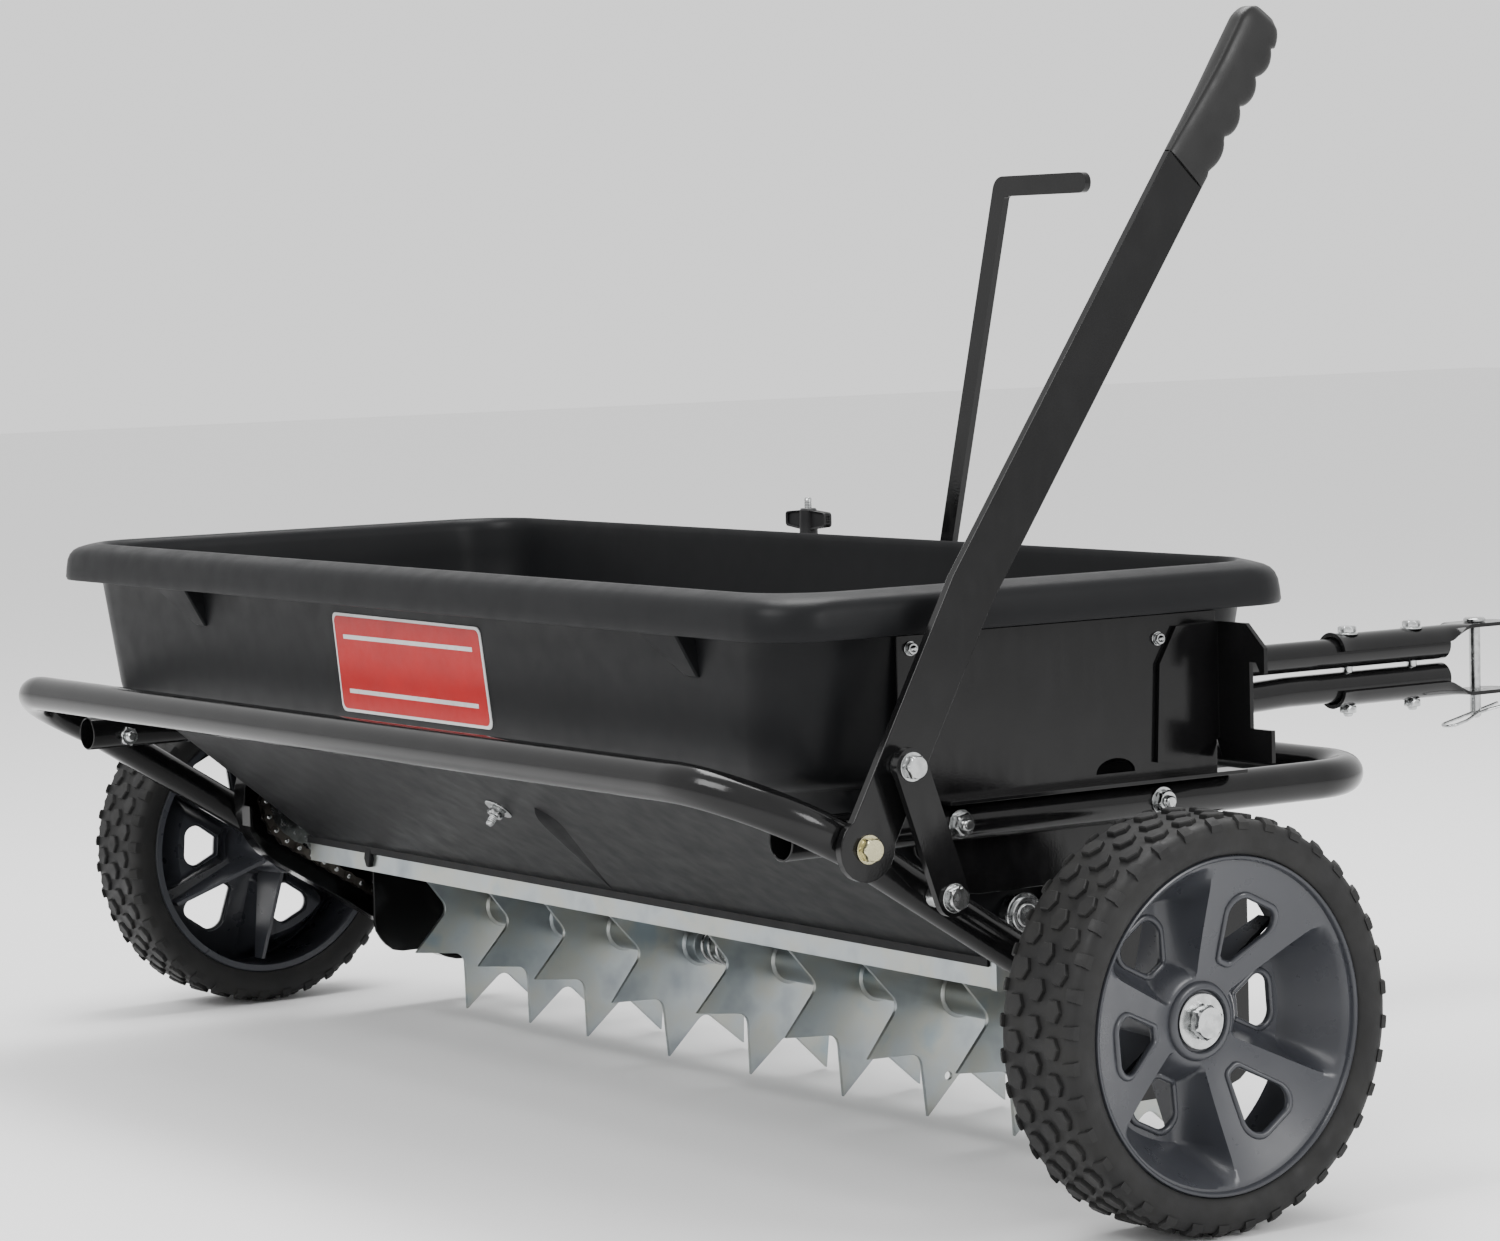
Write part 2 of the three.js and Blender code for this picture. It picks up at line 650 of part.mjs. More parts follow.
function star(index) {
  const { y, z, tip, root, points, plate, hub } = STARS;
  const shape = new THREE.Shape();
  const turn = (STAR_TURN[index] * Math.PI) / 180 - Math.PI / 2;
  const at = (radius, step) => {
    const angle = turn + (step * Math.PI) / points;
    return new THREE.Vector2(y + radius * Math.cos(angle), z + radius * Math.sin(angle));
  };
  for (let i = 0; i < points; i += 1) {
    const point = at(tip, 2 * i);
    const valley = at(root, 2 * i + 1);
    const next = at(tip, 2 * i + 2);
    const before = valley.clone().lerp(point, 0.16);
    const after = valley.clone().lerp(next, 0.16);
    if (i === 0) shape.moveTo(point.x, point.y);
    else shape.lineTo(point.x, point.y);
    shape.lineTo(before.x, before.y);
    shape.quadraticCurveTo(valley.x, valley.y, after.x, after.y);
  }
  shape.closePath();
  const x = STAR_X[index];
  const disc = sheet("x", shape, [x - plate / 2, x + plate / 2], 2);
  const sleeve = rod("x", hub, hubSpan(index), [y, z], 14);
  return disc.add(sleeve).subtract(rod("x", SHAFT_R + GAP, [-480, 480], [y, z]));
}

STAR_X.forEach((_, index) => {
  piece(`star_${index + 1}`, star(index), GALVANISED);
});

function spring() {
  const wire = 1.6;
  const turns = 6;
  const perTurn = 8;
  const from = hubSpan(SPRING_AFTER)[1] + wire + 0.5;
  const to = hubSpan(SPRING_AFTER + 1)[0] - wire - 0.5;
  const points = Array.from({ length: turns * perTurn + 1 }, (_, i) => {
    const angle = (2 * Math.PI * i) / perTurn;
    const x = from + ((to - from) * i) / (turns * perTurn);
    return new THREE.Vector3(x, STARS.y + 12 * Math.cos(angle), STARS.z + 12 * Math.sin(angle));
  });
  const section = new THREE.Shape();
  section.setFromPoints(Array.from({ length: 5 }, (_, i) => (
    new THREE.Vector2(wire * Math.cos(i * 0.4 * Math.PI), wire * Math.sin(i * 0.4 * Math.PI))
  )));
  return sweep(section, new Route(points));
}

piece("spring", spring(), ZINC);

// Chain drive from the star shaft up to the agitator
const pitchRadius = (teeth) => CHAIN.pitch / 2 / Math.sin(Math.PI / teeth);
const agitatorPitch = pitchRadius(CHAIN.drivenTeeth);
const starPitch = pitchRadius(CHAIN.driverTeeth);
const agitatorAt = [AGITATOR.y, AGITATOR.z];
const starAt = [STARS.y, STARS.z];

function sprocket(at, radius, bore) {
  const disc = rod("x", radius - CHAIN.halfHeight - 0.5, [CHAIN.x - 2.5, CHAIN.x + 2.5], at, 20);
  const hub = rod("x", 14, [CHAIN.x - 5, CHAIN.x + 7], at, 14);
  const whole = disc.add(hub);
  return bore > 0 ? whole.subtract(rod("x", bore, [-480, -440], at)) : whole;
}

piece("star_sprocket", sprocket(starAt, starPitch, SHAFT_R + GAP), ZINC);

function agitator() {
  const { y, z, paddle } = AGITATOR;
  const shaft = rod("x", SHAFT_R, [-470, 456], agitatorAt);
  const paddles = Array.from({ length: 8 }, (_, i) => {
    const x = -385 + i * 110;
    const upright = i % 2 === 0;
    const across = [y - (upright ? 3 : paddle), y + (upright ? 3 : paddle)];
    const along = [z - (upright ? paddle : 3), z + (upright ? paddle : 3)];
    return box([x - 3, x + 3], across, along);
  });
  return join([shaft, ...paddles, sprocket(agitatorAt, agitatorPitch, 0)]);
}

piece("agitator", agitator(), ZINC);

function bushing(side, at, from) {
  const sleeve = rod("x", 11, [side * from, side * 455], at, 12);
  const flange = rod("x", 14, [side * (SIDE_PLATE.outer + GAP), side * 453], at, 12);
  return sleeve.add(flange).subtract(rod("x", SHAFT_R + GAP, [side * 430, side * 460], at));
}

SIDES.forEach(([name, side]) => {
  piece(`star_bushing_${name}`, bushing(side, starAt, 443), ZINC);
  piece(`agitator_bushing_${name}`, bushing(side, agitatorAt, 439.5), ZINC);
});

function chain() {
  const { x, halfWidth, halfHeight } = CHAIN;
  const outer = belt(agitatorAt, agitatorPitch + halfHeight, starAt, starPitch + halfHeight);
  const inner = belt(agitatorAt, agitatorPitch - halfHeight, starAt, starPitch - halfHeight);
  const whole = sheet("x", outer, [x - halfWidth, x + halfWidth], 10);
  return whole.subtract(sheet("x", inner, [x - 20, x + 20], 10));
}

piece("chain", chain(), CHAIN_STEEL);

// Pan-shaped chain guard, open at the top under the frame tube
function chainGuard() {
  const clear = 18;
  const wall = 1.5;
  const back = [-479, -462];
  const outer = belt(agitatorAt, agitatorPitch + clear, starAt, starPitch + clear);
  const inner = belt(agitatorAt, agitatorPitch + clear - wall, starAt, starPitch + clear - wall);
  const pan = sheet("x", outer, back, 8).subtract(sheet("x", inner, [back[0] + wall, -440], 8));
  const ears = [[-76, 168], [165, 60]].map(([y, z]) => (
    box([back[1] - 1, -SIDE_PLATE.outer - GAP], [y - 1, y + 1], [z - 8, z + 8])
  ));
  const overTop = box([-500, -430], [-200, 300], [228, 300]);
  return join([pan, ...ears]).subtract(overTop);
}

piece("chain_guard", chainGuard(), BLACK_PAINT);

// Flow control: arm, bracket with its pivot stud, and the adjustable stop
function flowArm() {
  const { pivotX, pivotZ, y, width, thick, topX, topZ, handleX } = ARM;
  const upper = sheet("y", strip([
    [pivotZ - 30, pivotX],
    [pivotZ, pivotX],
    [topZ, topX],
    [topZ, handleX],
  ], width), [y - thick / 2, y + thick / 2]);
  const end = rod("y", width / 2, [y - thick / 2, y + thick / 2], [handleX, topZ]);
  const leg = sheet("x", strip([
    [y, pivotZ - 28],
    [y, pivotZ - 40],
    [48, 158],
    [22, 158],
  ], thick), [pivotX - width / 2, pivotX + width / 2]);
  const hole = rod("y", HOLE_R, [y - 10, y + 10], [pivotX, pivotZ], 12);
  return join([upper, end, leg]).subtract(hole);
}

function flowBracket() {
  const { y, wall, shelf, frontY } = FLOW_BRACKET;
  const back = ARM.y - ARM.thick / 2 - GAP;
  const front = ARM.y + ARM.thick / 2 + GAP;
  const at = [ARM.pivotX, ARM.pivotZ];
  const wallPlate = sheet("y", outline([
    [shelf, -110],
    [shelf + wall, -110],
    [shelf + wall, 135],
    [shelf, 135],
    [345, 115],
    [286, 84],
    [286, 48],
    [345, 20],
    [360, -60],
  ]), [y, y + wall]);
  const shelfPlate = box([-110, 135], [y, frontY], [shelf, shelf + wall]);
  const stopSlot = box([-95, 30], [STOP.y - STOP.stud - 0.5, STOP.y + STOP.stud + 0.5], [shelf - 3, shelf + 6]);
  const armNotch = box([56, 112], [199, frontY + 1], [shelf - 3, shelf + 6]);
  const stud = join([
    rod("y", 7, [y + 1, back], at),
    rod("y", BOLT.radius, [y + 1, front + 1], at, 12),
    rod("y", 8, [front, front + 3], at),
  ]);
  return cut(wallPlate.add(shelfPlate), [stopSlot, armNotch]).add(stud);
}

function flowStop() {
  const under = FLOW_BRACKET.shelf - GAP;
  const stud = rod("z", STOP.stud, [under - 4, 412], [STOP.x, STOP.y], 12);
  const block = box([STOP.x - 8, STOP.x + 8], [STOP.y - 4.4, STOP.y + 6], [under - 6, under]);
  return stud.add(block);
}

function wingKnob() {
  const low = FLOW_BRACKET.shelf + FLOW_BRACKET.wall + GAP;
  const hub = rod("z", 7.8, [low, 402], [STOP.x, STOP.y], 16);
  const wings = sheet("z", outline([
    [STOP.x - 25, STOP.y - 3],
    [STOP.x, STOP.y - 6],
    [STOP.x + 25, STOP.y - 3],
    [STOP.x + 25, STOP.y + 3],
    [STOP.x, STOP.y + 6],
    [STOP.x - 25, STOP.y + 3],
  ], 3), [392.5, 407], 2);
  return hub.add(wings).subtract(rod("z", STOP.stud + GAP, [370, 420], [STOP.x, STOP.y], 12));
}

piece("flow_arm", flowArm(), BLACK_PAINT);
piece("flow_bracket", flowBracket(), BLACK_PAINT);
piece("flow_stop", flowStop(), ZINC);
piece("wing_knob", wingKnob(), KNOB_PLASTIC);

// Tow bar: two tubes that spread from the hitch to the front of the frame tube
function towTube(side, rearZ, vZ, frontZ) {
  const { radius, wall, vY, levelY, frontY, rearX, rearY } = TOW;
  const corners = [[side * rearX, rearY, rearZ], [0, vY, vZ], [0, levelY, frontZ], [0, frontY, frontZ]];
  const bent = tube(corners, radius, wall, 110, 3);
  const hitchHoles = HITCH.boltY.map((y) => rod("z", HOLE_R, [frontZ - 20, frontZ + 20], [0, y], 12));
  const loopHole = rod("z", HOLE_R, [rearZ - 20, rearZ + 20], [side * 165, FRAME_TUBE.frontY], 12);
  return cut(bent, [...hitchHoles, loopHole]);
}

piece("tow_tube_upper", towTube(-1, 268, 269.6, TOW_Z.upper), BLACK_PAINT);
piece("tow_tube_lower", towTube(1, 213.5, 238.5, TOW_Z.lower), BLACK_PAINT);
piece("tow_bolt_left", boltAlongZ(-165, FRAME_TUBE.frontY, 230, 281), ZINC);
piece("tow_bolt_right", boltAlongZ(165, FRAME_TUBE.frontY, 205, 256), ZINC);

// Hitch straps: half-round over a tube, then flat out to the hitch pin
function hitchStrap(z, up) {
  const inner = TOW.radius + GAP;
  const outer = inner + HITCH.sheet;
  const flatY = TOW.frontY + 1;
  const shell = rod("y", outer, [HITCH.rearY, flatY + 6], [0, z], 16)
    .subtract(rod("y", inner, [HITCH.rearY - 1, flatY + 7], [0, z], 16));
  const half = up > 0 ? [z + 0.5, z + 20] : [z - 20, z - 0.5];
  const saddle = shell.intersect(box([-20, 20], [HITCH.rearY, flatY + 6], half));
  const faces = [z + up * inner, z + up * outer].sort((a, b) => a - b);
  const flat = box([-HITCH.width, HITCH.width], [flatY, HITCH.roundY], faces);
  const nose = rod("z", HITCH.width, faces, [0, HITCH.roundY], 20);
  const boltHoles = HITCH.boltY.map((y) => rod("z", HOLE_R, [z - 20, z + 20], [0, y], 12));
  const pinHole = rod("z", PIN.radius + GAP, [z - 20, z + 20], [0, HITCH.pinY], 16);
  return cut(join([saddle, flat, nose]), [...boltHoles, pinHole]);
}

const strapTop = TOW_Z.upper + TOW.radius + GAP + HITCH.sheet;
const strapLow = TOW_Z.lower - TOW.radius - GAP - HITCH.sheet;
piece("hitch_strap_upper", hitchStrap(TOW_Z.upper, 1), BLACK_PAINT);
piece("hitch_strap_lower", hitchStrap(TOW_Z.lower, -1), BLACK_PAINT);
HITCH.boltY.forEach((y, i) => {
  piece(`hitch_bolt_${["rear", "front"][i]}`, boltAlongZ(0, y, strapLow - GAP, strapTop + GAP), ZINC);
});

// Hitch pin and its hairpin clip
function hitchPin() {
  const shank = rod("z", PIN.radius, [PIN.low, strapTop + GAP + 1], [0, HITCH.pinY], 20);
  const head = rod("z", 9, [strapTop + GAP, strapTop + GAP + 3.5], [0, HITCH.pinY], 20);
  const clipHole = rod("y", PIN.clipRadius + 0.4, [-8, 8], [0, 0], 8)
    .rotate([(PIN.clipDroop * 180) / Math.PI, 0, 0])
    .translate([0, HITCH.pinY, PIN.clipZ]);
  return shank.add(head).subtract(clipHole);
}

function hairpin() {
  const rise = Math.sin(PIN.clipDroop);
  const run = Math.cos(PIN.clipDroop);
  const corners = [
    [0, 25],
    [0, -41],
    [14, -41],
    [14, -24],
    [7.2, -6],
    [7.2, 6],
    [13, 21],
  ].map(([x, along]) => [x, HITCH.pinY + along * run, PIN.clipZ + along * rise]);
  const section = new THREE.Shape();
  section.setFromPoints(Array.from({ length: 6 }, (_, i) => {
    const angle = (i * Math.PI) / 3;
    return new THREE.Vector2(PIN.clipRadius * Math.cos(angle), PIN.clipRadius * Math.sin(angle));
  }));
  return sweep(section, bentRoute(corners, 6.5, 4));
}

piece("hitch_pin", hitchPin(), ZINC);
piece("hairpin", hairpin(), ZINC);

machine.position.y = -FOOTPRINT_MIDDLE_Y;
const spreader = new THREE.Group();
spreader.add(machine);

export default spreader;
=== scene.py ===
"""Looks of the tow-behind lawn spiker and drop spreader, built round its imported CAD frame."""

import math
from collections import namedtuple

import bmesh
import bpy
from mathutils import Matrix, Quaternion, Vector
from mathutils.geometry import delaunay_2d_cdt


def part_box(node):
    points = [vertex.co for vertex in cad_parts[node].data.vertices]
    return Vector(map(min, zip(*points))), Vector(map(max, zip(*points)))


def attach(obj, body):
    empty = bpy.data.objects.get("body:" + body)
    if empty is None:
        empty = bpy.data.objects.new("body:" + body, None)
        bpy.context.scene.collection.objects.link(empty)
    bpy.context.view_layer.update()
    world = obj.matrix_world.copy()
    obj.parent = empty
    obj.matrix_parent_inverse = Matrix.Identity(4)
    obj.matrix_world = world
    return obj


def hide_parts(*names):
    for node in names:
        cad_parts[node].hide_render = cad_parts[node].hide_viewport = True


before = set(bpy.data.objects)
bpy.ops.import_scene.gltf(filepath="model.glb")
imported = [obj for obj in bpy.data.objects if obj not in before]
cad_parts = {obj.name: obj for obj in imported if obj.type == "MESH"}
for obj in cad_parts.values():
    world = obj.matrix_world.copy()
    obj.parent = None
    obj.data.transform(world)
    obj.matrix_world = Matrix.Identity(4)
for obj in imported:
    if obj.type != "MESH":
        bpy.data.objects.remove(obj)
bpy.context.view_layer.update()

# Places are written in millimetres from the axle line on the ground: x to the lever side, y to the
# hitch, z up. The frame says where the axle line is.
MM = 0.001
AXLE_Y = sum(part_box("wheel_right")[i].y for i in (0, 1)) / 2
UP = Vector((0, 0, 1))
TO_LEVER, TO_HITCH = (1, 0, 0), (0, 1, 0)
SIDES = (("left", -1), ("right", 1))

# Frame and lift lever
TUBE_R, TUBE_WALL = 12.7, 1.6
LOOP_X, LOOP_REAR, LOOP_FRONT, LOOP_Z = 463, -208, 275, 243
TOW_R, TOW_WALL = 12, 1.5
TOW_FOOT = (196.5, 232)
TOW_Y = (500, 600, 768)
PIVOT = (-181, 240)
LEG_X, CROSS_BAR = 495, (-260, 280)
LEVER_IN, LEVER_OUT = 508.2, 514.2
LEVER_KINK, LEVER_TOP = (-99, 389), (74.4, 639.5)
LINK_UPPER, LINK_LOWER = (-157, 288), (-128, 207)
LINK_IN, LINK_OUT = 522, 527
BOLT_R, BOLT_FLATS = 4, 13

# Wheels
WHEEL_X, WHEEL_Z, WHEEL_R = 595, 127, 127
AXLE_R = 6.35
CASING_R = WHEEL_R - 3.1
FACE_R, FACE_BORE, FACE_WALL = 99.5, 9, 4.5
FACE_DEEP, FACE_LOW, FACE_HIGH = -12, 3, 28
WHEEL_HUB_R = 24
LOBES = (64.5, 184.5, 304.5)

# Stars, agitator and chain
STAR_Y, STAR_Z, STAR_TIP, STAR_ROOT = 122, 83.5, 88, 52
STAR_X = (-400, -305, -223, -119, -3, 105, 200, 302, 400)
STAR_TURN = (-25, -25, -24.5, -20.5, -25, -22, -20, -23, -22)
AGITATOR_Y, AGITATOR_Z = -17, 178
SHAFT_R, SHAFT_BORE, SLEEVE_R = 7.9, 8.3, 15
PLATE_HALF = 1.5
CHAIN_X, PITCH = -463, 12.7
DRIVEN_TEETH, DRIVER_TEETH = 20, 16
LINK_R, LINK_WAIST = 3.9, 2.7

# Hopper
RIM_X, RIM_REAR, RIM_FRONT = 487.8, -223.3, 188.9
RIM_LOW, RIM_TOP = 362, 390

# Hitch and flow control
HITCH_PIN_Y = 805.4
HITCH_BOLT_Y = (667, 736)
TOW_UPPER_Z, TOW_LOWER_Z = 270, 243
STRAP_TOP, STRAP_LOW = 285.3, 227.7
CLIP_Z, CLIP_DROOP = 212.5, 0.21
ARM_X, ARM_Y = 66, 205
KNOB = (-71, 197)


def spot(x, y, z):
    """A place in millimetres from the axle line, as a point of the frame in metres."""
    return Vector((x * MM, AXLE_Y + y * MM, z * MM))


# ---------------------------------------------------------------- materials


def shader(name, **sockets):
    """A new material with these values on its Principled sockets, its node tree and its shader."""
    made = bpy.data.materials.new(name)
    made.use_nodes = True
    tree = made.node_tree
    principled = tree.nodes["Principled BSDF"]
    for socket, value in sockets.items():
        principled.inputs[socket.replace("_", " ")].default_value = value
    return made, tree, principled


def noise(tree, scale, detail=4, stretch=(1, 1, 1)):
    """Noise in the frame's own metres, stretched along the axes where asked."""
    place = tree.nodes.new("ShaderNodeTexCoord")
    mapping = tree.nodes.new("ShaderNodeMapping")
    mapping.inputs["Scale"].default_value = stretch
    texture = tree.nodes.new("ShaderNodeTexNoise")
    texture.inputs["Scale"].default_value = scale
    texture.inputs["Detail"].default_value = detail
    tree.links.new(place.outputs["Object"], mapping.inputs["Vector"])
    tree.links.new(mapping.outputs["Vector"], texture.inputs["Vector"])
    return texture.outputs["Fac"]


def ramp(tree, factor, stops):
    """A colour ramp over a factor; stops are (position, (r, g, b)) pairs."""
    node = tree.nodes.new("ShaderNodeValToRGB")
    elements = node.color_ramp.elements
    while len(elements) < len(stops):
        elements.new(0.5)
    for element, (position, colour) in zip(elements, stops):
        element.position = position
        element.color = (*colour, 1)
    tree.links.new(factor, node.inputs["Fac"])
    return node.outputs["Color"]


def spread(tree, factor, low, high, start=0.3, end=0.7):
    """The factor's range from start to end, spread between two values."""
    node = tree.nodes.new("ShaderNodeMapRange")
    node.inputs["From Min"].default_value = start
    node.inputs["From Max"].default_value = end
    node.inputs["To Min"].default_value = low
    node.inputs["To Max"].default_value = high
    tree.links.new(factor, node.inputs["Value"])
    return node.outputs["Result"]


def bump(tree, height, distance, strength, under=None):
    """A bump from a height, on top of the one under it."""
    node = tree.nodes.new("ShaderNodeBump")
    node.inputs["Strength"].default_value = strength
    node.inputs["Distance"].default_value = distance
    tree.links.new(height, node.inputs["Height"])
    if under:
        tree.links.new(under, node.inputs["Normal"])
    return node.outputs["Normal"]


def plastic(name, dark, light, roughness, grain, grain_depth, specular=0.3):
    """Moulded plastic: a fine grain, slow colour drift and uneven sheen."""
    made, tree, principled = shader(name, Specular_IOR_Level=specular)
    drift = noise(tree, 9)
    colour = ramp(tree, drift, [(0.3, dark), (0.7, light)])
    tree.links.new(colour, principled.inputs["Base Color"])
    sheen = noise(tree, 60)
    tree.links.new(spread(tree, sheen, *roughness), principled.inputs["Roughness"])
    fine = bump(tree, noise(tree, grain, 3), grain_depth, 0.6)
    slow = bump(tree, noise(tree, 14, 2), 0.00025, 0.4, under=fine)
    tree.links.new(slow, principled.inputs["Normal"])
    return made


def paint(name, colour, roughness):
    """Gloss powder coat: slight orange peel, dust and faint rub marks."""
    made, tree, principled = shader(name, Specular_IOR_Level=0.28)
    dust = noise(tree, 35, 6)
    lighter = tuple(channel * 1.4 + 0.001 for channel in colour)
    tinted = ramp(tree, dust, [(0.45, colour), (0.78, lighter)])
    tree.links.new(tinted, principled.inputs["Base Color"])
    rubbed = noise(tree, 120, 5, stretch=(1, 1, 0.3))
    tree.links.new(spread(tree, rubbed, *roughness), principled.inputs["Roughness"])
    peel = bump(tree, noise(tree, 700, 2), 0.00006, 0.5)
    tree.links.new(peel, principled.inputs["Normal"])
    return made


def galvanised(name):
    """Galvanised sheet: faint spangle, a hint of passivation tint and rolling marks."""
    made, tree, principled = shader(name, Metallic=0.9)
    place = tree.nodes.new("ShaderNodeTexCoord")
    spangle = tree.nodes.new("ShaderNodeTexVoronoi")
    spangle.inputs["Scale"].default_value = 130
    tree.links.new(place.outputs["Object"], spangle.inputs["Vector"])
    grey = ramp(tree, noise(tree, 26, 3), [
        (0.25, (0.25, 0.28, 0.30)),
        (0.45, (0.36, 0.39, 0.40)),
        (0.60, (0.38, 0.39, 0.36)),
        (0.75, (0.28, 0.34, 0.37)),
    ])
    tree.links.new(grey, principled.inputs["Base Color"])
    grain = spread(tree, spangle.outputs["Color"], 0.29, 0.35, 0, 1)
    tree.links.new(grain, principled.inputs["Roughness"])
    rolled = bump(tree, noise(tree, 400, 2, stretch=(1, 1, 0.1)), 0.00003, 0.4)
    tree.links.new(rolled, principled.inputs["Normal"])
    return made


def plated(name, colour, roughness):
    """Zinc plating: bright metal with a mottled sheen and a few scratches."""
    made, tree, principled = shader(name, Metallic=1.0)
    mottle = noise(tree, 180, 4)
    darker = tuple(channel * 0.72 for channel in colour)
    tree.links.new(ramp(tree, mottle, [(0.35, darker), (0.6, colour)]), principled.inputs["Base Color"])
    tree.links.new(spread(tree, mottle, *roughness), principled.inputs["Roughness"])
    scratches = bump(tree, noise(tree, 900, 2, stretch=(0.2, 1, 1)), 0.00004, 0.5)
    tree.links.new(scratches, principled.inputs["Normal"])
    return made


def rubber(name):
    """Tyre rubber: near black, dry, with mould texture and a little dust."""
    made, tree, principled = shader(name, Specular_IOR_Level=0.3)
    dust = noise(tree, 45, 6)
    tinted = ramp(tree, dust, [(0.4, (0.0070, 0.0070, 0.0072)), (0.75, (0.013, 0.0128, 0.012))])
    tree.links.new(tinted, principled.inputs["Base Color"])
    tree.links.new(spread(tree, noise(tree, 90, 4), 0.52, 0.74), principled.inputs["Roughness"])
    tree.links.new(bump(tree, noise(tree, 1100, 3), 0.00012, 0.6), principled.inputs["Normal"])
    return made


def vinyl(name, colour, roughness):
    """Printed vinyl: even colour with a slight ripple."""
    made, tree, principled = shader(name, Specular_IOR_Level=0.3)
    darker = tuple(channel * 0.85 for channel in colour)
    tint = ramp(tree, noise(tree, 40, 4), [(0.3, darker), (0.7, colour)])
    tree.links.new(tint, principled.inputs["Base Color"])
    tree.links.new(spread(tree, noise(tree, 150, 3), *roughness), principled.inputs["Roughness"])
    tree.links.new(bump(tree, noise(tree, 60, 2), 0.0002, 0.4), principled.inputs["Normal"])
    return made


HOPPER_PLASTIC = plastic(
    "hopper_plastic", dark=(0.0068, 0.0071, 0.0078), light=(0.0090, 0.0093, 0.0101),
    roughness=(0.36, 0.46), grain=1500, grain_depth=0.00006, specular=0.12)
WHEEL_PLASTIC = plastic(
    "wheel_plastic", dark=(0.030, 0.032, 0.038), light=(0.036, 0.038, 0.045),
    roughness=(0.26, 0.34), grain=1400, grain_depth=0.00005, specular=0.5)
GRIP_PLASTIC = plastic(
    "grip_plastic", dark=(0.007, 0.007, 0.007), light=(0.011, 0.011, 0.011),
    roughness=(0.30, 0.45), grain=1200, grain_depth=0.00010)
KNOB_PLASTIC = plastic(
    "knob_plastic", dark=(0.008, 0.008, 0.009), light=(0.012, 0.012, 0.013),
    roughness=(0.35, 0.50), grain=1200, grain_depth=0.00008)
BLACK_PAINT = paint("black_paint", (0.0042, 0.0042, 0.0044), roughness=(0.10, 0.20))
GALVANISED = galvanised("galvanised")
ZINC = plated("zinc", (0.52, 0.53, 0.53), roughness=(0.16, 0.30))
YELLOW_ZINC = plated("yellow_zinc", (0.60, 0.56, 0.36), roughness=(0.18, 0.34))
CHAIN_STEEL = plated("chain_steel", (0.10, 0.09, 0.08), roughness=(0.30, 0.50))
RUBBER = rubber("tyre_rubber")
LABEL_RED = vinyl("label_red", (0.40, 0.003, 0.004), roughness=(0.30, 0.42))
LABEL_SILVER = vinyl("label_silver", (0.62, 0.62, 0.62), roughness=(0.25, 0.40))

# ---------------------------------------------------------------- mesh tools

SHARP_ANGLE, BEVEL_ANGLE = 38, 40


def finish_object(name, mesh, material, body, replaces, bevel, angle):
    """Links a mesh as a piece that rides on a body, with softened edges."""
    mesh.materials.clear()
    mesh.materials.append(material)
    mesh.shade_smooth()
    mesh.set_sharp_from_angle(angle=math.radians(angle))
    made = bpy.data.objects.new(name, mesh)
    bpy.context.scene.collection.objects.link(made)
    if bevel:
        edge = made.modifiers.new("edge", "BEVEL")
        edge.width = bevel * MM
        edge.segments = 2
        edge.limit_method = "ANGLE"
        edge.angle_limit = math.radians(BEVEL_ANGLE)
        edge.use_clamp_overlap = True
        flat = made.modifiers.new("flat", "WEIGHTED_NORMAL")
        flat.keep_sharp = True
        solved = made.evaluated_get(bpy.context.evaluated_depsgraph_get())
        softened = bpy.data.meshes.new_from_object(solved)
        made.modifiers.clear()
        made.data = softened
    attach(made, body)
    if replaces:
        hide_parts(*replaces)


def piece(name, parts, material, body, replaces=(), bevel=0.0, angle=SHARP_ANGLE):
    """A piece from (vertices, faces) parts in millimetres; a face that is already there is left out."""
    mesh = bpy.data.meshes.new(name)
    solid = bmesh.new()
    for vertices, faces in parts:
        made = [solid.verts.new(spot(*v)) for v in vertices]
        for face in faces:
            try:
                solid.faces.new([made[i] for i in face])
            except ValueError:
                continue
    bmesh.ops.remove_doubles(solid, verts=solid.verts, dist=1e-6)
    bmesh.ops.recalc_face_normals(solid, faces=solid.faces)
    solid.to_mesh(mesh)
    solid.free()
    finish_object(name, mesh, material, body, replaces, bevel, angle)


def refined(node, material, body, bevel):
    """A CAD sheet part with its flat faces joined and its edges softened."""
    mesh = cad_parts[node].data.copy()
    solid = bmesh.new()
    solid.from_mesh(mesh)
    bmesh.ops.remove_doubles(solid, verts=solid.verts, dist=2e-6)
    bmesh.ops.dissolve_limit(solid, angle_limit=math.radians(1), verts=solid.verts, edges=solid.edges)
    bmesh.ops.recalc_face_normals(solid, faces=solid.faces)
    solid.to_mesh(mesh)
    solid.free()
    if "custom_normal" in mesh.attributes:
        mesh.attributes.remove(mesh.attributes["custom_normal"])
    finish_object(f"{node}_body", mesh, material, body, [node], bevel, SHARP_ANGLE)


def loft(rings, caps=True):
    """Faces between closed rings of equal length, with the first and last ring filled if asked."""
    vertices = [tuple(point) for ring in rings for point in ring]
    size = len(rings[0])
    faces = []
    for row in range(len(rings) - 1):
        for i in range(size):
            j = (i + 1) % size
            faces.append((row * size + i, row * size + j, (row + 1) * size + j, (row + 1) * size + i))
    if caps:
        faces.append(tuple(range(size)))
        faces.append(tuple(range((len(rings) - 1) * size, len(rings) * size)))
    return vertices, faces


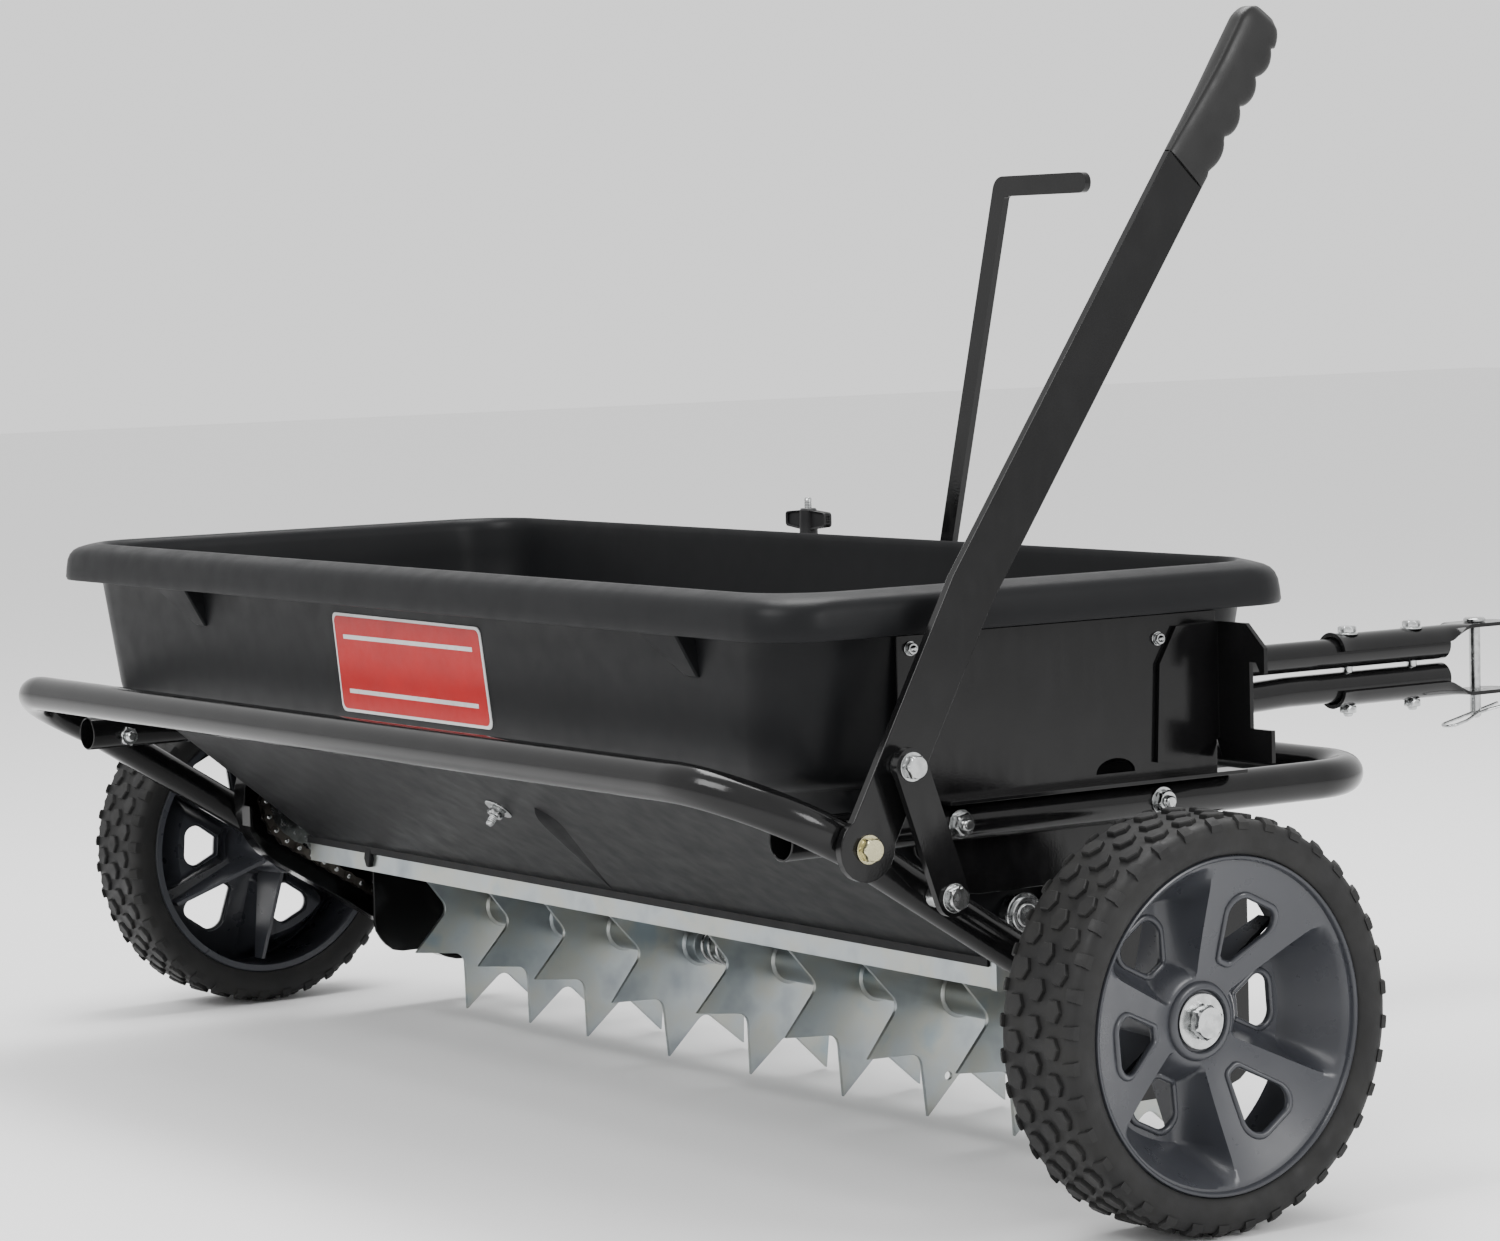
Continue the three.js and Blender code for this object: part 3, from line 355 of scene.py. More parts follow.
def bent(corners, bend, steps):
    """A path of straight runs whose inner corners are rounded to one bend radius, or to one each."""
    points = [Vector(corner) for corner in corners]
    bends = bend if isinstance(bend, (list, tuple)) else [bend] * (len(points) - 2)
    path = [points[0]]
    for before, corner, after, radius in zip(points, points[1:], points[2:], bends):
        back = (before - corner).normalized()
        ahead = (after - corner).normalized()
        half = back.angle(ahead) / 2
        centre = corner + (back + ahead).normalized() * (radius / math.sin(half))
        start = corner + back * (radius / math.tan(half)) - centre
        axis = back.cross(start).normalized()
        for step in range(steps + 1):
            turn = Quaternion(axis, (math.pi - 2 * half) * step / steps)
            path.append(centre + turn @ start)
    path.append(points[-1])
    return path


def frames_along(path, side):
    """Each point of a path with its side and its normal, carried along without twisting."""
    frames = []
    across = Vector(side)
    for i, point in enumerate(path):
        into = (point - path[max(i - 1, 0)]).normalized()
        out = (path[min(i + 1, len(path) - 1)] - point).normalized()
        tangent = (into + out).normalized()
        across = (across - tangent * across.dot(tangent)).normalized()
        frames.append((point, across, tangent.cross(across)))
    return frames


def swept(path, section, side=TO_LEVER):
    """A solid of a section of (across, normal) points carried along a path."""
    return loft([
        [point + across * u + normal * v for u, v in section]
        for point, across, normal in frames_along(path, side)
    ])


def polar(radius, angle, centre=(0, 0)):
    """A place on a flat at a radius and an angle from a centre."""
    return centre[0] + radius * math.cos(angle), centre[1] + radius * math.sin(angle)


def circle(radius, sides, centre=(0, 0)):
    """The points of a circle on a flat."""
    return [polar(radius, 2 * math.pi * i / sides, centre) for i in range(sides)]


def tube(path, radius, wall):
    """An open-ended tube with real walls and slightly rounded lips."""
    frames = frames_along(path, UP)
    lip = min(0.5, wall / 3)

    def ring(frame_here, r, shift=0.0):
        point, across, normal = frame_here
        along = across.cross(normal)
        return [point + along * shift + across * u + normal * v for u, v in circle(r, 32)]

    first, last = frames[0], frames[-1]
    outer = [ring(here, radius) for here in frames]
    inner = [ring(here, radius - wall) for here in reversed(frames)]
    start_lip = [ring(first, radius - wall + lip, -lip), ring(first, radius - lip, -lip)]
    end_lip = [ring(last, radius - lip, lip), ring(last, radius - wall + lip, lip)]
    rings = outer + end_lip + inner + start_lip
    rings.append(rings[0])
    return loft(rings, caps=False)


def arc_corner(corner, before, after, radius, steps):
    """Points that round one corner of a flat outline, within the room its sides leave."""
    corner, before, after = Vector(corner), Vector(before), Vector(after)
    back, ahead = before - corner, after - corner
    half = back.angle(ahead) / 2
    reach = min(radius / math.tan(half), back.length * 0.48, ahead.length * 0.48)
    radius = reach * math.tan(half)
    centre = corner + (back.normalized() + ahead.normalized()).normalized() * (radius / math.sin(half))
    start = corner + back.normalized() * reach - centre
    end = corner + ahead.normalized() * reach - centre
    turn = start.angle_signed(end, 0)
    return [centre + Matrix.Rotation(-turn * i / steps, 2) @ start for i in range(steps + 1)]


def rounded(points, radius, steps=5):
    """A closed flat outline with its corners rounded to one radius, or to one each."""
    outline = []
    radii = radius if isinstance(radius, list) else [radius] * len(points)
    for i, (corner, own_radius) in enumerate(zip(points, radii)):
        after = points[(i + 1) % len(points)]
        outline.extend(tuple(p) for p in arc_corner(corner, points[i - 1], after, own_radius, steps))
    return outline


def strip(line, width):
    """The outline of a strip of constant width along a flat line."""
    points = [Vector(p) for p in line]
    left, right = [], []
    for i, point in enumerate(points):
        into = (point - points[max(i - 1, 0)]).normalized()
        out = (points[min(i + 1, len(points) - 1)] - point).normalized()
        along = (into + out).normalized()
        normal = Vector((-along.y, along.x))
        half = width / 2 / (along.dot(out) if 0 < i < len(points) - 1 else 1)
        left.append(point + normal * half)
        right.append(point - normal * half)
    return [tuple(p) for p in left + right[::-1]]


# How delaunay_2d_cdt divides a flat: into triangles throughout, or only along the lines given.
TRIANGLES, CELLS_OF_LINES = 0, 2


def add_line(points, edges, line, closed=True):
    """Adds a flat line and the edges along it to what is to be divided into cells."""
    start, count = len(points), len(line)
    points.extend(Vector(p) for p in line)
    edges.extend((start + i, start + (i + 1) % count) for i in range(count if closed else count - 1))


def cells_within(points, edges, outline, holes, output):
    """Divides an outline less its holes into flat cells. Returns their corners and the cells."""
    flat, _, cells, *_ = delaunay_2d_cdt(points, edges, [], output, 1e-5)
    kept = []
    for cell in cells:
        middle = centre_of([flat[i] for i in cell])
        if inside(middle, outline) and not any(inside(middle, hole) for hole in holes):
            kept.append(cell)
    return flat, kept


def two_sided(count, cells):
    """Faces of two copies of a sheet of count corners, and of the walls along its open edges."""
    faces = [tuple(cell) for cell in cells] + [tuple(i + count for i in cell) for cell in cells]
    uses = {}
    for cell in cells:
        for edge in map(frozenset, zip(cell, (*cell[1:], cell[0]))):
            uses[edge] = uses.get(edge, 0) + 1
    for edge in (edge for edge, used in uses.items() if used == 1):
        a, b = tuple(edge)
        faces.append((a, b, b + count, a + count))
    return faces


def sheet(axis, outline, span, holes=()):
    """A flat sheet across the x or y axis, with holes cut clean through."""
    points, edges = [], []
    for loop in (outline, *holes):
        add_line(points, edges, loop)
    flat, cells = cells_within(points, edges, outline, holes, CELLS_OF_LINES)
    vertices = [(w, p.x, p.y) if axis == "x" else (p.x, w, p.y) for w in span for p in flat]
    return vertices, two_sided(len(flat), cells)


def share_of(value, whole):
    """How much of a whole a value makes, from 0 to 1."""
    return min(max(value / whole, 0), 1)


def smooth(value):
    """A step from 0 to 1 that is level at both ends."""
    value = share_of(value, 1)
    return value * value * (3 - 2 * value)


def centre_of(points):
    """The mean of flat points."""
    return sum((Vector(p) for p in points), Vector((0, 0))) / len(points)


def inside(point, loop):
    """Whether a flat point lies inside a closed outline."""
    within = False
    for (ax, ay), (bx, by) in zip(loop, [*loop[1:], loop[0]]):
        if (ay > point.y) != (by > point.y):
            if point.x < (bx - ax) * (point.y - ay) / (by - ay) + ax:
                within = not within
    return within


def basis(direction):
    """A direction as a unit vector, and two unit vectors across it."""
    along = Vector(direction).normalized()
    helper = UP if abs(along.z) < 0.9 else Vector(TO_HITCH)
    across = helper.cross(along).normalized()
    return along, across, along.cross(across)


def lathe(origin, direction, profile, sides=32, closed=False):
    """A turned solid from (distance along, radius) pairs; a closed profile goes back to its start."""
    along, across, normal = basis(direction)
    origin = Vector(origin)
    rings = []
    for distance, radius in profile:
        rings.append([
            origin + along * distance + across * u + normal * v
            for u, v in circle(radius, sides)
        ])
    if closed:
        rings.append(rings[0])
    return loft(rings, caps=not closed)


def ring_solid(origin, direction, span, outer, inner, sides=32, soft=0.4):
    """A washer, sleeve or bush with softened edges."""
    low, high = span
    return lathe(origin, direction, [
        (low, inner),
        (low, outer - soft),
        (low + soft, outer),
        (high - soft, outer),
        (high, outer - soft),
        (high, inner),
    ], sides, closed=True)


HEX_SIDES = 36


def hexagon(origin, direction, span, flats, turn=0.0):
    """A bolt head or nut with chamfered corners at both ends."""
    along, across, normal = basis(direction)
    origin = Vector(origin)
    low, high = span
    chamfer = (high - low) * 0.16
    narrow, wide = flats * 0.49, flats * 0.6
    rings = []
    for distance, limit in ((low, narrow), (low + chamfer, wide), (high - chamfer, wide), (high, narrow)):
        ring = []
        for i in range(HEX_SIDES):
            angle = 2 * math.pi * i / HEX_SIDES
            off_flat = angle % (math.pi / 3) - math.pi / 6
            radius = min(flats / 2 / math.cos(off_flat), limit)
            u, v = polar(radius, angle + turn)
            ring.append(origin + along * distance + across * u + normal * v)
        rings.append(ring)
    return loft(rings)


def thread(origin, direction, span, radius, pitch=1.4):
    """A threaded end: closely spaced ridges and a chamfered tip."""
    low, high = span
    root = radius - 0.5
    profile = [(low, root)]
    for i in range(max(int((high - low - 1) / pitch), 1)):
        start = low + i * pitch
        profile += [(start + 0.1, root), (start + pitch * 0.5, radius)]
    profile += [(high - 0.9, radius - 0.3), (high, radius - 1.2)]
    return lathe(origin, direction, profile, 16)


def bolt(origin, direction, reach, nut, head=5.5, turn=0.0, tail=5):
    """A hex bolt and washer: its head lies past reach, its nut lies below nut, and its tail below that."""
    back = [-d for d in direction]
    end = nut - tail
    return [
        hexagon(origin, direction, (reach, reach + head), BOLT_FLATS, turn),
        lathe(origin, direction, [(end, BOLT_R - 0.6), (end + 1, BOLT_R), (reach, BOLT_R)], 18),
        ring_solid(origin, direction, (reach - 1.2, reach), BOLT_FLATS * 0.68, BOLT_R, 28, 0.2),
        hexagon(origin, direction, (nut - head, nut), BOLT_FLATS, turn + 0.3),
        thread(origin, back, (head - nut, head - nut + tail), BOLT_R),
    ]


# ---------------------------------------------------------------- hopper

Level = namedtuple("Level", "z x rear front corner")
SLOT_OUT, SLOT_IN = Level(150, 436, -34, 0, 10), Level(150, 433, -29.5, -4.5, 7)
BELLY_OUT, BELLY_IN = Level(266, 444, -186, 152.5, 46), Level(271, 441, -187, 153.5, 43)
WALL_LOW, WALL_TOP = Level(284, 458.6, -197.3, 163.7, 45), Level(RIM_LOW - 3, 466.6, -205.1, 173.6, 44)
REAR_SLOPE_OUT = Vector((0, -0.607, -0.795))
LONG_STEPS, SHORT_STEPS, CORNER_STEPS = 36, 14, 8


def tub_level(level):
    """One level of the hopper: a rounded rectangle with points spread along its sides."""
    z, x, rear, front, corner = level
    points = []
    centres = [
        (x - corner, front - corner),
        (corner - x, front - corner),
        (corner - x, rear + corner),
        (x - corner, rear + corner),
    ]
    for quarter, (cx, cy) in enumerate(centres):
        for i in range(CORNER_STEPS + 1):
            angle = (quarter + i / CORNER_STEPS) * math.pi / 2
            points.append((*polar(corner, angle, (cx, cy)), z))
        angle = (quarter + 1) * math.pi / 2
        start = Vector(polar(corner, angle, (cx, cy)))
        stop = Vector(polar(corner, angle, centres[(quarter + 1) % 4]))
        steps = SHORT_STEPS if quarter % 2 else LONG_STEPS
        points += [(*start.lerp(stop, i / steps), z) for i in range(1, steps)]
    return points


def between(low, high, steps):
    """Levels from one to another, the first left out."""
    return [tuple(a + (b - a) * i / steps for a, b in zip(low, high)) for i in range(1, steps + 1)]


def hopper_levels():
    """The hopper's section from the slot up its outside, over the rim and down its inside."""
    outside = [
        SLOT_OUT, *between(SLOT_OUT, BELLY_OUT, 14),
        (267.5, 447.5, -188.4, 154.8, 46), (269.5, 451.5, -191.0, 157.4, 46),
        (273, 455, -193.8, 160, 46), (278, 457.4, -196.2, 162.4, 45),
        WALL_LOW, *between(WALL_LOW, WALL_TOP, 6),
    ]
    under_rim = [(RIM_LOW + rise, *row) for rise, *row in (
        (0, 467.2, -206.2, 175, 44), (6, 468.4, -207.4, 176, 44), (18, 470, -209, 177, 43),
        (21, 474, -212, 180, 42), (19, 481, -216.5, 184, 41), (9, 483.6, -219.2, 185.2, 40),
    )]
    rim = []
    for z, inset in (
        (RIM_LOW + 0.6, 3.2), (RIM_LOW, 2.2), (RIM_LOW + 0.3, 0.7), (RIM_LOW + 2.5, 0),
        (RIM_LOW + 9, 0.4), (RIM_TOP - 12.5, 1.1), (RIM_TOP - 8.4, 2.3), (RIM_TOP - 5.4, 4.2),
        (RIM_TOP - 3.4, 6.8), (RIM_TOP - 1.6, 11), (RIM_TOP - 0.5, 15), (RIM_TOP, 17.4),
        (RIM_TOP - 0.4, 19.2), (RIM_TOP - 2.0, 21.4), (RIM_TOP - 5.0, 22.8), (RIM_TOP - 10.0, 24.0),
    ):
        inward = share_of(inset - 13.5, 10.5)
        rear, front = RIM_REAR + inset - 4.0 * inward, RIM_FRONT - inset + 7.5 * inward
        rim.append((z, RIM_X - inset, rear, front, 38 + inset * 0.38))
    inner_top, inner_low = (RIM_LOW, 463.4, -202.4, 171, 43), (279, 455, -193.6, 160, 42)
    inner = [
        inner_top, *between(inner_top, inner_low, 5),
        (274, 451, -191, 157.5, 42), (272, 445, -188.5, 155, 42),
        BELLY_IN, *between(BELLY_IN, SLOT_IN, 14),
    ]
    return outside + under_rim + rim + inner


def hopper():
    """The hopper's shell, one closed skin from its slot over the rim and back."""
    rings = [tub_level(level) for level in hopper_levels()]
    shell = loft([*rings, rings[0]], caps=False)
    piece("hopper_shell", [shell], HOPPER_PLASTIC, "frame", ["hopper"], angle=50)


def rear_y(z, low, high):
    """Where the hopper's rear face stands at a height between two levels."""
    return low.rear + (z - low.z) / (high.z - low.z) * (high.rear - low.rear)


def hopper_crease():
    """A moulded ridge that fades out down the rear slope, steep on its left side."""
    start, end = (Vector((x, rear_y(z, SLOT_OUT, BELLY_OUT), z)) for x, z in ((57, 222), (8, 151.5)))
    across = REAR_SLOPE_OUT.cross((end - start).normalized())
    rings = []
    for share, size in (
        (0, 0.05), (0.03, 0.6), (0.08, 0.95), (0.16, 1), (0.35, 0.8), (0.6, 0.5), (0.8, 0.25), (1, 0.04),
    ):
        here = start.lerp(end, share)
        steep = [(-0.5 - 2 * size, -0.6), (-0.4, 4.6 * size), (0.8, 4.8 * size)]
        gentle = [(7 * size, 2.2 * size), (1 + 15 * size, -0.6)]
        rings.append([here + across * side + REAR_SLOPE_OUT * proud for side, proud in steep + gentle])
    piece("hopper_crease", [loft(rings)], HOPPER_PLASTIC, "frame", angle=60)


def gussets():
    """Moulded ribs under the rear rim."""
    parts = []
    for low, high in ((-318, -270), (330, 373)):
        toe = high - 13
        near = [
            (low, -204, 364), (low, -219.5, 364), (low + 1, -219.5, 361),
            (toe, -204.5, 335), (toe, -201, 335),
        ]
        parts.append(loft([near, [(high, y, z) for _, y, z in near]]))
    piece("hopper_gussets", parts, HOPPER_PLASTIC, "frame", bevel=1.2)


def label():
    """A blank label: a red field over a pale one that shows as its border, and two pale stripes."""
    corners = rounded([(-79, 354.5), (118, 353.5), (120, 285), (-80, 285)], 5)
    middle_x, middle_z = 20, 320

    def plate(outline, sunk, proud):
        places = [(x, rear_y(z, WALL_LOW, WALL_TOP), z) for x, z in outline]
        return loft([[(x, y + sunk, z) for x, y, z in places], [(x, y - proud, z) for x, y, z in places]])

    def field(shrink, proud):
        wide, high = 1 - shrink / 100, 1 - shrink / 35
        outline = [(middle_x + (x - middle_x) * wide, middle_z + (z - middle_z) * high) for x, z in corners]
        return plate(outline, 0.6, proud)

    piece("label_border", [field(0, 0.7)], LABEL_SILVER, "frame", bevel=0.15)
    piece("label_field", [field(2.2, 0.95)], LABEL_RED, "frame", bevel=0.1)
    stripes = []
    for z in (300, 338):
        stripes.append(plate([(-66, z + 1.5), (106, z + 1.5), (106, z - 1.5), (-66, z - 1.5)], 0.4, 1.1))
    piece("label_stripes", stripes, LABEL_SILVER, "frame", bevel=0.05)


def bottom_bar():
    """The metering channel, with its small end piece, and the hopper's lip and tab over it."""
    section = [(-34.6, 151), (-34.8, 145.2), (-33.6, 144.8), (-32.3, 145.2), (-32.3, 151)]
    lip = loft([[(x, y, z) for y, z in section] for x in (-SLOT_OUT.x, SLOT_OUT.x)])
    piece("hopper_lip", [lip], HOPPER_PLASTIC, "frame", bevel=0.3)
    refined("bottom_plate", GALVANISED, "frame", 0.4)
    outline = rounded([(-33, 130), (-1, 130), (-1, 149), (-33, 149)], 1.5)
    piece("channel_end", [sheet("x", outline, (437, 443))], GALVANISED, "frame", bevel=0.4)
    middle = -340.5
    root = [(middle - 4.5, -34.5), (middle + 4.5, -34.5), (middle + 4.5, -28), (middle - 4.5, -28)]
    tab = loft([
        [(x, y, 150.5) for x, y in root],
        [(x, y - 1.5, 141) for x, y in root],
        [(middle + (x - middle) * 0.5, y - 1.0, 134.5) for x, y in root],
    ])
    piece("channel_tab", [tab], HOPPER_PLASTIC, "frame", bevel=0.8)


# ---------------------------------------------------------------- frame tubes


def frame_tubes():
    """The frame's loop round the hopper, and the wheel frame's loop round its back."""
    ends = ((-1, LOOP_REAR), (-1, LOOP_FRONT), (1, LOOP_FRONT), (1, LOOP_REAR))
    path = bent([(side * LOOP_X, y, LOOP_Z) for side, y in ends], 60, 16)
    piece("frame_loop", [tube(path, TUBE_R, TUBE_WALL)], BLACK_PAINT, "frame", ["frame_tube"])
    rear = [(-LEG_X, *PIVOT), (-LEG_X, *CROSS_BAR), (LEG_X, *CROSS_BAR), (LEG_X, *PIVOT)]
    left_end, right_end = (Vector((side * LEG_X, 14, WHEEL_Z - 8.7)) for side in (-1, 1))
    path = [left_end, *bent(rear, 70, 16), right_end]
    loop = tube(path, TUBE_R, TUBE_WALL)
    piece("wheel_frame_loop", [loop], BLACK_PAINT, "wheel_frame", ["wheel_frame_tube"])


def tow_bar():
    """Two tubes that meet one above the other at the hitch, and their bolts through the loop."""
    foot_x, foot_y = TOW_FOOT
    for name, side, foot_z, bend_z, front_z in (
        ("upper", -1, 268, 269.6, TOW_UPPER_Z), ("lower", 1, 213.5, 238.5, TOW_LOWER_Z),
    ):
        middle = [(0, y, z) for y, z in zip(TOW_Y, (bend_z, front_z, front_z))]
        path = bent([(side * foot_x, foot_y, foot_z), *middle], 110, 12)
        piece(f"tow_bar_{name}", [tube(path, TOW_R, TOW_WALL)], BLACK_PAINT, "frame", [f"tow_tube_{name}"])
    for name, x, low, high in (("left", -165, 230, 281), ("right", 165, 205, 256)):
        parts = bolt((x, LOOP_FRONT, 0), UP, high, low)
        piece(f"tow_bolt_{name}_set", parts, ZINC, "frame", [f"tow_bolt_{name}"])


# ---------------------------------------------------------------- sheet-metal brackets


def brackets():
    """The sheet-metal parts, shaped by the solid model."""
    for node, bevel in (
        ("side_plate_left", 0.6), ("hopper_plate_left", 0.5), ("side_plate_right", 0.6),
        ("hopper_plate_right", 0.5), ("latch_bracket", 0.6), ("chain_guard", 0.5), ("flow_bracket", 0.5),
    ):
        refined(node, BLACK_PAINT, "frame", bevel)
    refined("closure_plate", GALVANISED, "closure", 0.3)


def small_bolts():
    """Fasteners left out of the solid model: plates to hopper, plates to tube, and the rear screw."""
    inner_end = [(-470, 2.9), (-461, 2.9), (-460.9, 5.4), (-459, 5.0), (-458.2, 3.4)]
    for name, side in SIDES:
        out, back = (side, 0, 0), (-side, 0, 0)
        for i, origin in enumerate(((0, -114, 352), (0, 80, 345))):
            piece(f"end_bolt_{name}_{i}", [
                ring_solid(origin, out, (469.6, 470.4), 4.6, 2.3, 28, 0.2),
                hexagon(origin, out, (470.4, 473.4), 6.6, 0.3),
                thread(origin, out, (473.2, 475.4), 2.2, 0.9),
                lathe(origin, back, inner_end, 24),
            ], ZINC, "frame")
        for i, origin in enumerate(((0, -83, LOOP_Z), (0, 77, LOOP_Z))):
            piece(f"tube_bolt_{name}_{i}", [
                hexagon(origin, out, (476, 481.5), 12.7, 0.2),
                thread(origin, out, (481, 485.5), BOLT_R),
                hexagon(origin, back, (-446.6, -441.5), 12.7, 0.4),
                ring_solid(origin, out, (475.4, 476.2), 9, BOLT_R, 28, 0.2),
            ], ZINC, "frame")
    origin, out = (-3, -120.8, 216), Vector((0, -120, -156)).normalized()
    piece("rear_screw", [
        ring_solid(origin, out, (-0.5, 1.2), 10.8, 3, 32, 0.3),
        hexagon(origin, out, (1.2, 6.4), 11, 0.25),
        thread(origin, out, (6.2, 14.0), 3, 1.2),
    ], ZINC, "frame")


# ---------------------------------------------------------------- lift lever

GRIP_LENGTH, GRIP_NOSE, GRIP_HALF = 114, 98, 17.4
RIDGE_START, RIDGE_PITCH = 8, 22.5


def lever():
    """The lift lever, its link, and the sleeves and bolts that hold them."""
    refined("lift_lever", BLACK_PAINT, "wheel_frame", 0.9)
    refined("lever_link", BLACK_PAINT, "wheel_frame", 0.8)
    leg_out = LEG_X + TUBE_R
    for name, place, start in (("upper", LINK_UPPER, LEVER_OUT), ("lower", LINK_LOWER, leg_out)):
        sleeve = ring_solid((0, *place), TO_LEVER, (start + 0.3, LINK_IN - 0.3), 7.5, 4.3)
        piece(f"link_sleeve_{name}", [sleeve], ZINC, "wheel_frame", [f"link_spacer_{name}"])
    for name, place, nut, turn in (("upper", LINK_UPPER, LEVER_IN - 0.3, 0), ("lower", LINK_LOWER, 482, 0.3)):
        parts = bolt((0, *place), TO_LEVER, LINK_OUT + 0.9, nut, turn=turn, tail=3)
        piece(f"link_bolt_{name}_set", parts, ZINC, "wheel_frame", [f"link_bolt_{name}"])
    for (name, side), outside, finish in zip(SIDES, (leg_out, LEVER_OUT), (ZINC, YELLOW_ZINC)):
        origin, out = (0, *PIVOT), (side, 0, 0)
        parts = bolt(origin, out, outside + 1.2, 450, head=5.3, tail=4)
        parts.append(ring_solid(origin, out, (476, 482), 9, 4.2))
        piece(f"pivot_bolt_{name}_set", parts, finish, "frame", [f"pivot_bolt_{name}"])


def grip():
    """A moulded grip with finger ridges on its forward side and a rounded nose."""
    top = Vector(LEVER_TOP)
    rise = (top - Vector(LEVER_KINK)).normalized()
    ahead = Vector((rise.y, -rise.x))
    middle = (LEVER_IN + LEVER_OUT) / 2
    stations = [0, 0.6, 2, 4.5, 7, *[7 + 2.2 * i for i in range(1, 43)], 101.5, 104, 106.5, 108.6, 110.2]
    rings = []
    for s in (*stations, GRIP_LENGTH):
        ridge = 0.0
        if RIDGE_START < s < GRIP_NOSE:
            ridge = abs(math.sin(math.pi * (s - RIDGE_START) / RIDGE_PITCH)) ** 0.6 * 6.4 - 4.2
        forward = GRIP_HALF + ridge * share_of(s - 6, 6)
        backward = GRIP_HALF - math.sin(math.pi * min(s, 100) / 100)
        thick = 4.4 + 3.8 * min(s / 70, 1)
        if s > GRIP_NOSE:
            along_nose = (s - GRIP_NOSE) / (GRIP_LENGTH - GRIP_NOSE + 0.4)
            size = 0.35 + 0.65 * math.sqrt(max(0.0, 1 - along_nose ** 2))
            forward, backward, thick = forward * size, backward * size, thick * size
        ring = []
        for c, n in circle(1, 32):
            across = math.copysign(abs(c) ** 0.62, c) * (forward if c > 0 else backward)
            slant = -0.16 * (across + GRIP_HALF) * max(0, 1 - s / 20)
            place = top + rise * (s + 0.3 + slant) + ahead * across
            ring.append((middle + math.copysign(abs(n) ** 0.4, n) * thick, *place))
        rings.append(ring)
    piece("grip_body", [loft(rings)], GRIP_PLASTIC, "wheel_frame", ["lever_grip"], angle=70)


# ---------------------------------------------------------------- wheels

RIM_PROFILE = (
    (-31, 97), (-31, 101.4), (-30, 102.4), (-28.4, 102.2), (-28, 100.6), (28, 100.6), (28.4, 102.2),
    (29.8, 102.4), (31.4, 101.6), (31.8, 100.6), (31.2, 99.8), (29.4, 99.2), (27, 98.8), (4, 97.8),
    (-10, 97.4), (-26, 96.8), (-29, 96.6),
)
HUB_PROFILE = (
    (-65, 6.7), (-65, 17.5), (-64, 18.5), (-20, 21), (-8, 24), (0, 25), (3, 24.4), (5.2, 23.2),
    (6.0, 21.6), (6.0, 19.6), (5.2, 18.8), (3.2, 18.4), (3.0, 6.7),
)
SHOULDER_PROFILE = (
    (28.0, CASING_R - 0.1), (31.0, CASING_R - 1.4), (33.2, CASING_R - 3.6), (34.4, 117.5), (34.6, 113.6),
    (34.2, 109.4), (32.6, 105.2), (30.9, 103.2), (30.2, 102.6), (27.7, 102.6), (27.7, 100.8),
)
LUGS_AROUND, ROW_GAP, LUG_X, LUG_ARC = 36, 17.5, 6.9, 7.6
SHOULDER_X, SHOULDER_DROP = 27, 0.075


def lobe_half(radius):
    """Half the width of a lobe, measured along the circle at this radius."""
    return 15.5 + 0.51 * max(radius - 30, 0) + 0.008 * max(radius - 80, 0) ** 2


def face_height(y, z):
    """How far out the wheel's face stands: three flared lobes with deep scoops between them."""
    radius = math.hypot(y, z)
    turn = math.degrees(math.atan2(z, y))
    away = min(abs((turn - lobe + 180) % 360 - 180) for lobe in LOBES)
    flank = share_of(math.radians(away) * radius - lobe_half(radius), 17)
    lobe = max((1 - flank) ** 2.2, 1 - smooth((radius - WHEEL_HUB_R) / 18))
    high = FACE_LOW + (FACE_HIGH - FACE_LOW) * share_of(radius - WHEEL_HUB_R, 75) ** 1.15
    deep = FACE_DEEP + (FACE_HIGH - FACE_DEEP) * share_of(radius - 75, 22) ** 1.1
    return deep + (high - deep) * lobe


def window(centre_turn, inner, outer, inner_half, outer_half, corner):
    """A rounded triangular window, as an outline in the wheel's plane."""
    corners = []
    for radius, half in (
        (inner, -inner_half), (outer, -outer_half), (outer, outer_half), (inner, inner_half),
    ):
        corners.append(polar(radius, math.radians(centre_turn + half)))
    outline = []
    for y, z in rounded(corners, corner, 7):
        here = Vector((y, z))
        off = math.radians(math.degrees(math.atan2(z, y)) - centre_turn)
        bulge = 1 + 0.05 * math.cos(off * 4) if here.length > (inner + outer) / 2 else 1
        outline.append(tuple(here * bulge))
    return outline


def wheel_windows():
    """Three windows in the lobes and three in the scoops between them."""
    high = [window(turn, 38, 79, 7, 18, [4.5, 9, 9, 4.5]) for turn in LOBES]
    deep = [window(turn + 60, 39, 71, 11, 20, [5, 9, 9, 5]) for turn in LOBES]
    return high + deep


def lobe_edges():
    """The lines on the face where the lobes begin to fall into the scoops."""
    lines = []
    for turn in LOBES:
        for side in (-1, 1):
            line = []
            for step in range(44):
                radius = 30 + step * 1.57
                line.append(polar(radius, math.radians(turn) + side * lobe_half(radius) / radius))
            lines.append(line)
    return lines


